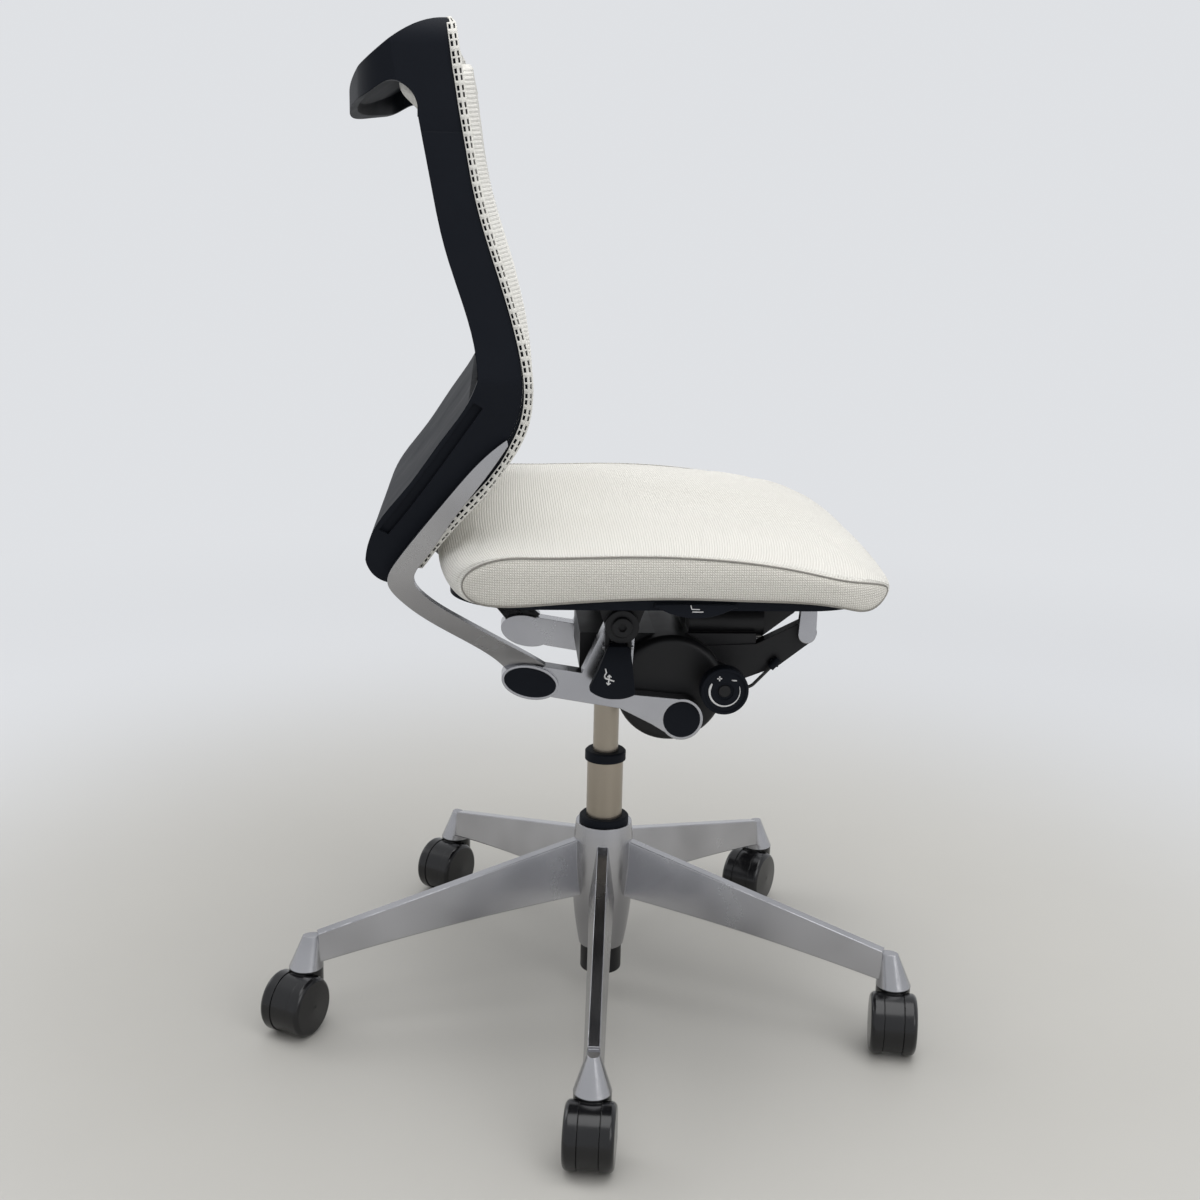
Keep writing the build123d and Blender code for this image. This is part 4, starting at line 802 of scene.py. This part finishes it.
    def stitches(self, cover: Array, finishes: Finishes) -> Piece:
        """Top stitching beside each seam: short flat prisms at equal steps along one cover row."""
        work = Patchwork()
        for column, sign in ((self.stitch_row, -1.0), (-1 - self.stitch_row, 1.0)):
            row = cover[:, column]
            row = row[row[:, 2] > self.stitch_above]
            length = lengths(row)
            centre = np.arange(self.stitch_gap, length[-1], self.stitch_gap)
            ends = [centre + shift * self.stitch_length / 2 for shift in (-1.0, -0.5, 0.5, 1.0)]
            line = np.stack([sample(end, length, row) for end in ends], axis=1)
            line += np.array(self.stitch_rise)[None, :, None] * np.array([0.0, self.stitch_lean * sign, 1.0])
            wide = np.array([0.0, self.stitch_half, 0.0])
            count = len(centre)
            strip = np.stack([line - wide, line + wide], axis=2).reshape(count, -1, 3)
            quads = np.array([[0, 1, 3, 2], [2, 3, 5, 4], [4, 5, 7, 6]])
            index = work.count + (np.arange(count)[:, None, None] * 8 + quads[None]).reshape(-1, 4)
            work.add_faces(strip.reshape(-1, 3) * MM, index)
        piece = work.build("seat_stitches", [finishes["stitch_thread"]], weld=0.0)
        thicken(piece, self.stitch_thick)
        return piece


# Back


@dataclass
class BackShape:
    """Outline of the back that its upholstery follows, in millimetres."""

    front_edge: tuple = (
        (-156, 958), (-148, 919), (-131, 815), (-115, 759.5), (-98, 700.5), (-93, 659), (-101.5, 623),
        (-116.5, 600.5), (-158, 541.5), (-189, 491),
    )
    top: float = 958.0
    top_half: float = 205.0
    lumbar: float = 668.0
    lumbar_half: float = 218.0
    tail: float = 474.0
    tail_half: float = 150.0
    corner: float = 24.0

    def half_width(self, z: Array) -> Array:
        """Half width of the frame at a height."""
        heights = [self.tail, self.lumbar, self.top]
        return np.interp(z, heights, [self.tail_half, self.lumbar_half, self.top_half])


@dataclass
class BackNet:
    """Stretched net round the back: cells with open middles that turn over the frame's edge."""

    shape: BackShape = field(default_factory=BackShape)
    outside: float = 0.9
    edge_rise: tuple = (
        (490, 6.0), (513, 6.6), (533, 8.8), (552, 11.2), (566, 13.4), (581, 14.6), (592, 14.2), (609, 12.0),
        (625, 10.4), (654, 8.6), (687, 8.0), (705, 7.0), (722, 5.9), (752, 6.0), (800, 5.2), (855, 3.9),
        (900, 3.4), (931, 4.2), (958, 5.6),
    )
    wall_end: tuple = (
        (490, -1.5), (513, -1.5), (533, 1.6), (552, 3.4), (571, 6.0), (585, 7.4), (600, 7.0), (618, 3.4),
        (654, 1.6), (690, 0.2), (752, -0.4), (800, -1.4), (855, -2.2), (890, -3.6), (920, -3.6), (958, -1.2),
    )
    sink: float = 2.5
    lowest: float = 1.7
    highest: float = 5.6
    rise_run: float = 16.0
    edge_round: float = 1.6
    cell: float = 6.6
    front_cell: float = 4.8
    turned_cells: int = 2
    yarn: float = 0.8
    hole: tuple[float, float] = (0.60, 0.50)
    pairing: float = 0.18
    end_share: float = 0.4
    end_round: float = 5.0
    rim_inset: float = 0.3
    rim_gap: float = 0.7
    rim_tuck: float = 0.8
    rim_foot: float = 0.1

    def build(self, finishes: Finishes) -> list[Piece]:
        """Make the net and the dark rim that it is stretched over.

        Args:
            finishes: The built finishes.

        Returns:
            The pieces.
        """
        edge = np.array(self.shape.front_edge, float)
        length = even_path(edge, 2)[1][-1]
        rows = int(round(length / self.cell)) + 1
        path, along = even_path(edge, rows)
        normal = forward_normals(path)
        net = self.cells(self.girth_grid(path, normal, along), finishes)
        self.declare(path, along)
        rim = self.rim(path, normal, along, finishes)
        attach(net, "back")
        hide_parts("back_skin")
        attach(rim, "back")
        return [net, rim]

    def reach(self, path: Array, along: Array) -> Array:
        """Half width of the net at each row, with round corners at both ends."""
        cut = corner_cut(np.minimum(along, along[-1] - along), self.shape.corner)
        return self.shape.half_width(path[:, 1]) + self.outside - cut

    def edge_height(self, path: Array, along: Array) -> Array:
        """How far the net's edge stands in front of the frame at each row, lower at both ends."""
        end = rounded_edge(np.minimum(along, along[-1] - along), self.end_round)
        return read_off(self.edge_rise, path[:, 1]) * (self.end_share + (1 - self.end_share) * end)

    def wall_low(self, path: Array) -> Array:
        """Where the net's side wall ends at each row, before or behind the frame's front edge."""
        return read_off(self.wall_end, path[:, 1])

    def face_height(self, edge: Array) -> Array:
        """How far the net's middle stands in front of the frame, from the height of its edge."""
        return np.minimum(np.clip(edge - self.sink, self.lowest, self.highest), edge)

    def front_face(self, edge: Array, near: Array) -> Array:
        """Height of the front face, from its middle's to its edge's as near goes from 0 to 1.

        The share of the way is 3 near^2 - 2 near^3, level at both ends.
        """
        low = self.face_height(edge)
        return low + (edge - low) * near**2 * (3 - 2 * near)

    def wrap(self, path: Array, along: Array) -> Array:
        """Length of net past the front face at each row: a quarter round and then the side wall."""
        turned = self.edge_round * (np.pi / 2 - 1)
        return turned + self.edge_height(path, along) - self.wall_low(path)

    def declare(self, path: Array, along: Array) -> None:
        """Work out the width of the net's flat cut, before it is stretched over the frame.

        The cut is as wide at each row as the girth there, twice the half face and the wrap.  The widths are
        not kept or used.
        """
        girth = 2 * (self.reach(path, along) - self.edge_round + self.wrap(path, along))

    def girth_grid(self, path: Array, normal: Array, along: Array) -> Array:
        """Grid of yarn crossings: over the front face, round the edge, and back along the side.

        The girth runs from the middle; past the front face it follows a quarter round and then the
        side wall.  The front face rises from its middle height to the edge's height near the edge.
        """
        flat = (self.reach(path, along) - self.edge_round)[:, None]
        edge = self.edge_height(path, along)[:, None]
        wrap = self.wrap(path, along)[:, None]
        inner = int(round(self.shape.lumbar_half / self.front_cell)) * 2
        front = np.linspace(-1, 1, inner + 1)[None] * flat
        tails = np.linspace(0, 1, self.turned_cells + 1)[None, 1:] * wrap
        girth = np.concatenate([-flat - tails[:, ::-1], front, flat + tails], axis=1)
        over = np.clip(np.abs(girth) - flat, 0, None)
        turn = np.clip(over / self.edge_round, 0, np.pi / 2)
        down = np.clip(over - self.edge_round * np.pi / 2, 0, None)
        y = np.sign(girth) * (np.minimum(np.abs(girth), flat) + self.edge_round * np.sin(turn))
        near = np.clip((np.abs(y) - flat + self.rise_run) / self.rise_run, 0, 1)
        rise = self.front_face(edge, near) - self.edge_round * (1 - np.cos(turn)) - down
        return raised(path, normal, rise, y)

    def cells(self, grid: Array, finishes: Finishes) -> Piece:
        """Net with open cells: each quad becomes four strips round a smaller quad left open."""
        rows, cols = grid.shape[:2]
        corner = grid_faces(rows, cols)
        points = grid.reshape(-1, 3)
        square = points[corner]
        down = (square[:, 2] + square[:, 3] - square[:, 0] - square[:, 1]) / 4
        paired = np.where(np.arange(len(corner)) // (cols - 1) % 2 == 0, self.pairing, -self.pairing)
        middle = square.mean(axis=1) + paired[:, None] * down
        side = (square[:, 1] + square[:, 2] - square[:, 0] - square[:, 3]) / 4
        signs = np.array([[-1.0, -1.0], [-1.0, 1.0], [1.0, 1.0], [1.0, -1.0]])
        hole = np.stack([
            middle + a * self.hole[0] * down + b * self.hole[1] * side for a, b in signs
        ], axis=1)
        inner = len(points) + np.arange(len(corner) * 4).reshape(-1, 4)
        strips = [
            np.stack([corner[:, k], corner[:, (k + 1) % 4], inner[:, (k + 1) % 4], inner[:, k]], axis=1)
            for k in range(4)
        ]
        work = Patchwork()
        work.add_faces(np.concatenate([points, hole.reshape(-1, 3)]) * MM, np.concatenate(strips))
        net = work.build("back_net", [finishes["mesh_cloth"]], weld=0.0)
        thicken(net, self.yarn)
        return net

    def rim(self, path: Array, normal: Array, along: Array, finishes: Finishes) -> Piece:
        """Dark rim under the net's edge: it follows the net a little below, down to the frame."""
        half = self.reach(path, along)[:, None] - self.yarn - self.rim_inset
        edge = self.edge_height(path, along)[:, None]
        inner = np.concatenate([[0.0, 0.0], np.linspace(0.6, self.rise_run, 12)])[None]
        face = self.front_face(edge, np.clip(1 - inner / self.rise_run, 0, 1))
        rise = np.maximum(face - self.yarn - self.rim_gap - self.rim_tuck * (inner == 0), self.rim_foot)
        rise[:, 0] = self.rim_foot
        work = Patchwork()
        for side in Side:
            grid = raised(path, normal, rise, side.value * (half - inner))
            work.add(grid * MM, flip=side.value > 0)
        return work.build("back_net_rim", [finishes["black_plastic"]])


@dataclass
class BackPad:
    """Ribbed pad in front of the net: a low pillow with ribs across it at a fine pitch."""

    shape: BackShape = field(default_factory=BackShape)
    net: BackNet = field(default_factory=BackNet)
    top: float = 923.0
    bottom: float = 592.0
    margin: float = 20.0
    gap: float = 0.4
    front_rise: tuple = (
        (592, 8.6), (660, 9.0), (687, 10.6), (704, 12.1), (720, 13.5), (745, 14.8), (784, 14.4), (808, 13.6),
        (830, 12.6), (870, 12.2), (923, 12.8),
    )
    corner: float = 16.0
    edge_round: float = 5.5
    end_round: float = 5.0
    rib_pitch: tuple = ((0, 3.7), (100, 3.5), (400, 3.5))
    rib_depth: float = 0.95
    bold_ribs: float = 0.9
    bold_length: float = 45.0
    rib_power: float = 0.8
    rib_ends: float = 4.0
    path_steps: int = 1600
    coarse_rows: int = 66
    rib_steps: int = 8
    columns: int = 58
    swell: float = 1.0
    pressure: float = 3.0

    def section_path(self, count: int) -> tuple[Array, Array, Array]:
        """Path of the front edge between the pad's ends, its normals and lengths."""
        path, along = even_path(np.array(self.shape.front_edge, float), self.path_steps)
        inside = (path[:, 1] <= self.top) & (path[:, 1] >= self.bottom)
        part = path[inside]
        length = along[inside] - along[inside][0]
        want = np.linspace(0, length[-1], count)
        return sample(want, length, part), sample(want, length, forward_normals(part)), want

    def pillow(self, count: int, front: bool) -> tuple[Array, Array, Array]:
        """Front or rear face of the pad on a grid.

        The height over the net is the thickness times a quarter round in from each edge; the half
        width follows the frame, less a margin and a round corner at both ends.
        """
        path, normal, along = self.section_path(count)
        end = np.minimum(along, along[-1] - along)
        half = self.shape.half_width(path[:, 1]) - self.margin - corner_cut(end, self.corner)
        angle = np.linspace(-np.pi / 2, np.pi / 2, self.columns)
        share = 0.5 * np.sin(angle) + 0.5 * angle / (np.pi / 2)
        y = half[:, None] * share[None]
        inward = half[:, None] - np.abs(y)
        rise = rounded_edge(inward, self.edge_round) * rounded_edge(end, self.end_round)[:, None]
        seat = self.net.face_height(read_off(self.net.edge_rise, path[:, 1])) + self.gap
        tall = read_off(self.front_rise, path[:, 1]) - seat
        height = seat[:, None] + (tall[:, None] * rise if front else 0.0 * rise)
        return raised(path, normal, height, y), along, rise

    def rib_count(self, along: Array) -> Array:
        """Ribs passed at each length: the running sum of the step over the pitch there."""
        density = 1 / read_off(self.rib_pitch, along)
        return np.concatenate([[0.0], np.cumsum(np.diff(along) * (density[1:] + density[:-1]) / 2)])

    def ribs(self, grid: Array, along: Array, rise: Array) -> Array:
        """Move the front face in between ribs.

        The depth is 1 less a power of |sin| of pi times the ribs passed; the first ribs are bolder.
        """
        down = np.gradient(grid, axis=0)
        side = np.gradient(grid, axis=1)
        normal = np.cross(down, side)
        normal /= np.maximum(np.linalg.norm(normal, axis=-1, keepdims=True), 1e-9)
        normal *= np.sign(normal[len(grid) // 2, grid.shape[1] // 2, 0])
        valley = 1 - np.abs(np.sin(np.pi * self.rib_count(along))) ** self.rib_power
        bold = self.rib_depth * (1 + self.bold_ribs * np.exp(-along / self.bold_length))
        depth = (bold * valley)[:, None] * np.clip(rise * self.rib_ends, 0, 1)
        return grid - normal * depth[..., None]

    def build(self, finishes: Finishes) -> list[Piece]:
        """Make the pad: swell it on a coarse grid, then carry the ribs on a fine one.

        Args:
            finishes: The built finishes.

        Returns:
            The pieces.
        """
        front, along, _ = self.pillow(self.coarse_rows, True)
        rear, _, _ = self.pillow(self.coarse_rows, False)
        work = Patchwork()
        work.add(front * MM)
        work.add(rear * MM, flip=True)
        draft = work.build("back_pad_draft", [finishes["pad_cloth"]], weld=0.0)
        held = np.ones((2, *front.shape[:2]), bool)
        held[0, 1:-1, 1:-1] = False
        puff(draft, held.ravel(), self.swell * MM, self.pressure)
        swollen = coordinates(draft)[: held[0].size].reshape(front.shape) / MM
        discard(draft)
        fine_rows = int(self.rib_count(along)[-1]) * self.rib_steps + 1
        plain, fine_along, rise = self.pillow(fine_rows, True)
        climb = np.arange(len(front))[:, None, None]
        lift = spline_at(swollen - front + climb, np.linspace(0, 1, fine_rows))
        lift -= np.linspace(0, len(front) - 1, fine_rows)[:, None, None]
        face = self.ribs(plain + lift, fine_along, rise)
        back_face, _, _ = self.pillow(fine_rows, False)
        cloth = np.stack(np.broadcast_arrays(fine_along[:, None], face[..., 1]), axis=-1) * MM
        final = Patchwork()
        final.add(face * MM, cloth, 0)
        final.add(back_face * MM, cloth, 0, flip=True)
        pad = final.build("back_pad_cover", [finishes["pad_cloth"]], weld=2e-5)
        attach(pad, "back")
        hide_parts("back_pad")
        return [pad]


@dataclass
class HoodLining:
    """Light fabric roll under the hood of the handle, where the cover is tucked in."""

    outline: tuple = (
        (-156, 902), (-166, 897), (-184, 896), (-193.5, 898.5), (-197.5, 905), (-197, 914), (-190, 924),
        (-176, 933), (-164, 936), (-157, 925),
    )
    half_width: float = 168.0
    around: int = 60
    across: int = 40
    fullness: float = 10.0

    def build(self, finishes: Finishes) -> list[Piece]:
        """Make the roll: its outline carried across the chair, drawn together at both ends.

        Args:
            finishes: The built finishes.

        Returns:
            The pieces.
        """
        outline = np.array(self.outline, float)
        loop = spline_at(outline, np.linspace(0, 1, self.around), closed=True)
        centre = outline.mean(axis=0)
        share = np.sin(np.linspace(-np.pi / 2, np.pi / 2, self.across))
        size = np.clip(1 - np.abs(share) ** self.fullness, 0, 1) ** (1 / self.fullness)
        xz = centre + (loop - centre)[:, None] * size[None, :, None]
        work = Patchwork()
        work.add(placed(xz, self.half_width * share[None]) * MM)
        roll = work.build("hood_lining_roll", [finishes["hood_lining"]])
        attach(roll, "back")
        return [roll]


# Marks


@dataclass
class Marks:
    """White marks on the knob, the paddle and the flap: a dial arc with plus and minus, and arrows.

    Each row of strokes gives a line's start, its end, its number of points and its width.
    """

    knob_centre: tuple[float, float] = (103.5, 367.0)
    knob_face: float = 116.8
    arc_radius: float = 14.6
    arc_turn: tuple[float, float] = (148.0, 380.0)
    arc_widths: tuple[float, float] = (2.3, 0.5)
    arc_start: tuple[float, float] = (0.55, 8.0)
    arc_steps: int = 60
    knob_strokes: tuple = (
        ((-7.8, 12.8), (-3.0, 12.8), 6, 1.2), ((-5.4, 10.4), (-5.4, 15.2), 6, 1.2),
        ((6.2, 11.2), (11.0, 10.7), 6, 1.2),
    )
    paddle_face: tuple = ((-121.0, 412.0), (-128.5, 378.0), (-123.5, 361.0))
    paddle_strokes: tuple = (
        ((-11.5, 392.8), (-10.4, 388.8), 6, 1.2), ((-10.4, 388.8), (-12.2, 386.2), 6, 1.2),
        ((-12.2, 386.2), (-11.6, 383.6), 6, 1.2), ((-11.6, 383.6), (-2.9, 380.6), 10, 1.4),
        ((-7.6, 386.6), (-8.4, 377.0), 10, 1.4), ((-7.6, 386.8), (-9.6, 384.6), 4, 1.0),
        ((-7.6, 386.8), (-5.8, 384.4), 4, 1.0), ((-8.4, 376.8), (-10.2, 379.2), 4, 1.0),
        ((-8.4, 376.8), (-6.4, 378.8), 4, 1.0),
    )
    flap_face: float = 230.3
    flap_strokes: tuple = (
        ((53.6, 480.8), (54.4, 477.2), 6, 0.8), ((54.4, 477.2), (61.5, 477.0), 6, 0.8),
        ((55.0, 474.8), (64.5, 474.8), 6, 0.8),
    )
    lift: float = 0.12
    thick: float = 0.25

    def paddle_y(self, z: Array) -> Array:
        """Outer face of the paddle at a height: the circle through three points of its section."""
        (y1, z1), (y2, z2), (y3, z3) = self.paddle_face
        system = np.array([[y2 - y1, z2 - z1], [y3 - y1, z3 - z1]])
        right = 0.5 * np.array([y2**2 - y1**2 + z2**2 - z1**2, y3**2 - y1**2 + z3**2 - z1**2])
        cy, cz = np.linalg.solve(system, right)
        radius = math.hypot(y1 - cy, z1 - cz)
        return cy - np.sqrt(radius**2 - (z - cz) ** 2)

    @staticmethod
    def ribbons(strokes: tuple, origin: tuple[float, float] = (0.0, 0.0)) -> list[Array]:
        """Flat ribbons: each point of a line moved to both sides along the line's normal."""
        made = []
        for start, end, count, width in strokes:
            share = np.linspace(0, 1, count)[:, None]
            points = np.array(start) * (1 - share) + np.array(end) * share + np.array(origin)
            along = np.gradient(points, axis=0)
            side = np.stack([-along[:, 1], along[:, 0]], axis=1)
            side *= width / 2 / np.linalg.norm(side, axis=1, keepdims=True)
            made.append(np.stack([points - side, points + side], axis=1))
        return made

    def arc(self) -> Array:
        """Dial arc that tapers from thick at the left to thin at the right."""
        turn = np.radians(np.linspace(*self.arc_turn, self.arc_steps))
        begin = np.minimum(1, np.linspace(*self.arc_start, self.arc_steps))
        heavy = np.linspace(*self.arc_widths, self.arc_steps) * begin
        ray = np.stack([np.cos(turn), np.sin(turn)], axis=1)
        radii = (self.arc_radius - heavy / 2, self.arc_radius + heavy / 2)
        return np.stack([np.array(self.knob_centre) + r[:, None] * ray for r in radii], axis=1)

    def finish(self, grids: list[Array], name: str, body: str, finishes: Finishes) -> Piece:
        """Make the ribbons solid and let them ride on a body."""
        work = Patchwork()
        for grid in grids:
            work.add(grid * MM)
        piece = work.build(name, [finishes["white_print"]], weld=0.0)
        thicken(piece, self.thick, 0.0)
        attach(piece, body)
        return piece

    def build(self, finishes: Finishes) -> list[Piece]:
        """Make all marks.

        Args:
            finishes: The built finishes.

        Returns:
            The pieces.
        """
        dial = [self.arc(), *self.ribbons(self.knob_strokes, self.knob_centre)]
        knob = [placed(flat, -self.knob_face - self.lift) for flat in dial]
        seat = self.ribbons(self.paddle_strokes)
        paddle = [placed(flat, self.paddle_y(flat[..., 1]) - self.lift) for flat in seat]
        flap = [placed(flat, -self.flap_face - self.lift) for flat in self.ribbons(self.flap_strokes)]
        return [
            self.finish(knob, "knob_marks", "knob", finishes),
            self.finish(paddle, "paddle_marks", "height_lever", finishes),
            self.finish(flap, "flap_marks", "slide_lever", finishes),
        ]


# Studio


@dataclass
class Studio:
    """Camera, pale floor, soft lights and a pale surround."""

    eye: Vector = field(default_factory=lambda: Vector((-0.11589, -1.56092, 0.82494)))
    yaw: float = math.radians(3.908)
    pitch: float = math.radians(14.30)
    roll: float = math.radians(1.316)
    lens: float = 48.15
    floor_tone: Colour = (0.56, 0.55, 0.52)
    wall_tone: Colour = (0.74, 0.755, 0.78)
    tone_fade: tuple[float, float] = (0.45, 1.5)
    glow_fade: tuple[float, float] = (0.7, 2.4)
    floor_half: float = 14.0
    sky: tuple = ((0.30, (0.30, 0.30, 0.31)), (0.85, (1.0, 1.0, 1.0)))
    sky_light: float = 0.62
    lamps: tuple = (
        ("ceiling", (0.2, -0.3, 2.7), (0.0, 0.0, 0.4), 2.4, 38.0),
        ("front", (1.6, -2.2, 1.7), (0.0, 0.0, 0.5), 1.6, 16.0),
        ("rear", (-2.2, 1.2, 1.8), (0.0, 0.0, 0.5), 1.4, 12.0),
    )

    def camera(self) -> None:
        """Place the camera of the photograph: yaw from +Y, pitch down, roll about the view."""
        forward = Vector((
            math.sin(self.yaw) * math.cos(self.pitch), math.cos(self.yaw) * math.cos(self.pitch),
            -math.sin(self.pitch),
        ))
        right = Vector((math.cos(self.yaw), -math.sin(self.yaw), 0.0))
        up = right.cross(forward)
        level = math.cos(self.roll) * right + math.sin(self.roll) * up
        tall = -math.sin(self.roll) * right + math.cos(self.roll) * up
        data = bpy.data.cameras.new("camera")
        data.lens = self.lens
        data.sensor_width = 36.0
        data.clip_end = 60.0
        camera = bpy.data.objects.new("camera", data)
        turn = Matrix((level, tall, -forward)).transposed().to_4x4()
        camera.matrix_world = Matrix.Translation(self.eye) @ turn
        bpy.context.scene.collection.objects.link(camera)
        bpy.context.scene.camera = camera

    def floor(self) -> None:
        """Wide pale floor round the chair, whose tone runs into the surround further out.

        Seen directly or in metal, the far floor is as pale as the surround, so no horizon shows.
        """
        reach = np.linspace(-self.floor_half, self.floor_half, 29)
        x, y = np.meshgrid(reach, reach, indexing="ij")
        work = Patchwork()
        work.add(np.stack([x, y, np.zeros_like(x)], axis=-1))
        g = Graph("pale_floor")
        wall = (*self.wall_tone, 1.0)
        place = g.place()
        far = g.node("ShaderNodeVectorMath", {0: place}, operation="LENGTH").outputs["Value"]
        cloud = g.noise(place, 3.0, 5.0)
        near = g.tint(cloud, tuple(0.93 * c for c in self.floor_tone), self.floor_tone)
        pale = g.mix(self.fade(g, far, *self.tone_fade), near, wall)
        g.feed(Base_Color=pale, Roughness=0.55, Specular_IOR_Level=0.25)
        share = g.math("MULTIPLY", g.seen(), self.fade(g, far, *self.glow_fade))
        glow = g.node("ShaderNodeEmission", {"Color": wall, "Strength": 1.0})
        g.join(g.blend(share, g.shader, glow), g.output.inputs["Surface"])
        work.build("floor", [g.material], weld=0.0)

    @staticmethod
    def fade(g: Graph, value: Socket, start: float, end: float) -> Socket:
        """Value that rises smoothly from 0 to 1 between two distances."""
        links = {"Value": value, "From Min": start, "From Max": end, "To Min": 0.0, "To Max": 1.0}
        return g.node("ShaderNodeMapRange", links, interpolation_type="SMOOTHSTEP").outputs["Result"]

    def surround(self) -> None:
        """World: pale to the camera and in reflections, a soft gradient of light elsewhere."""
        world = bpy.data.worlds.new("surround")
        bpy.context.scene.world = world
        world.use_nodes = True
        g = Nodes(world.node_tree)
        place = g.node("ShaderNodeTexCoord").outputs["Generated"]
        up = g.node("ShaderNodeSeparateXYZ", {"Vector": place}).outputs["Z"]
        lift = g.node("ShaderNodeMath", {0: up, 1: 0.5, 2: 0.5}, operation="MULTIPLY_ADD")
        ramp = g.node("ShaderNodeValToRGB", {"Fac": lift.outputs[0]})
        for stop, (position, tone) in zip(ramp.color_ramp.elements, self.sky):
            stop.position = position
            stop.color = (*tone, 1.0)
        light = {"Color": ramp.outputs["Color"], "Strength": self.sky_light}
        lit = g.node("ShaderNodeBackground", light)
        pale = g.node("ShaderNodeBackground", {"Color": (*self.wall_tone, 1.0)})
        g.node("ShaderNodeOutputWorld", {"Surface": g.blend(g.seen(), lit, pale)})

    def lamp(self, name: str, place: tuple, aim: tuple, size: float, power: float) -> None:
        """Add a square soft light.

        Args:
            name: Name of the lamp.
            place: Where it hangs.
            aim: The point that it faces.
            size: Side of the square.
            power: Watts.
        """
        data = bpy.data.lights.new(name, "AREA")
        data.size = size
        data.energy = power
        lamp = bpy.data.objects.new(name, data)
        lamp.location = place
        lamp.rotation_euler = (Vector(aim) - Vector(place)).to_track_quat("-Z", "Y").to_euler()
        bpy.context.scene.collection.objects.link(lamp)

    def build(self) -> None:
        """Set up the camera, the floor and the light."""
        bpy.context.scene.view_settings.view_transform = "Standard"
        self.camera()
        self.floor()
        self.surround()
        for lamp in self.lamps:
            self.lamp(*lamp)


def main() -> None:
    """Build the studio, the finishes and each dressed piece in order."""
    logging.basicConfig(level=logging.INFO, format="%(name)s: %(message)s")
    Studio().build()
    finishes = {finish.name: finish.build() for finish in FINISHES}
    dress_nodes(finishes)
    for maker in (SeatCushion(), BackNet(), BackPad(), HoodLining(), Marks()):
        for piece in maker.build(finishes):
            log.info("%s: %d faces", piece.name, len(piece.data.polygons))


if __name__ == "__main__":
    main()
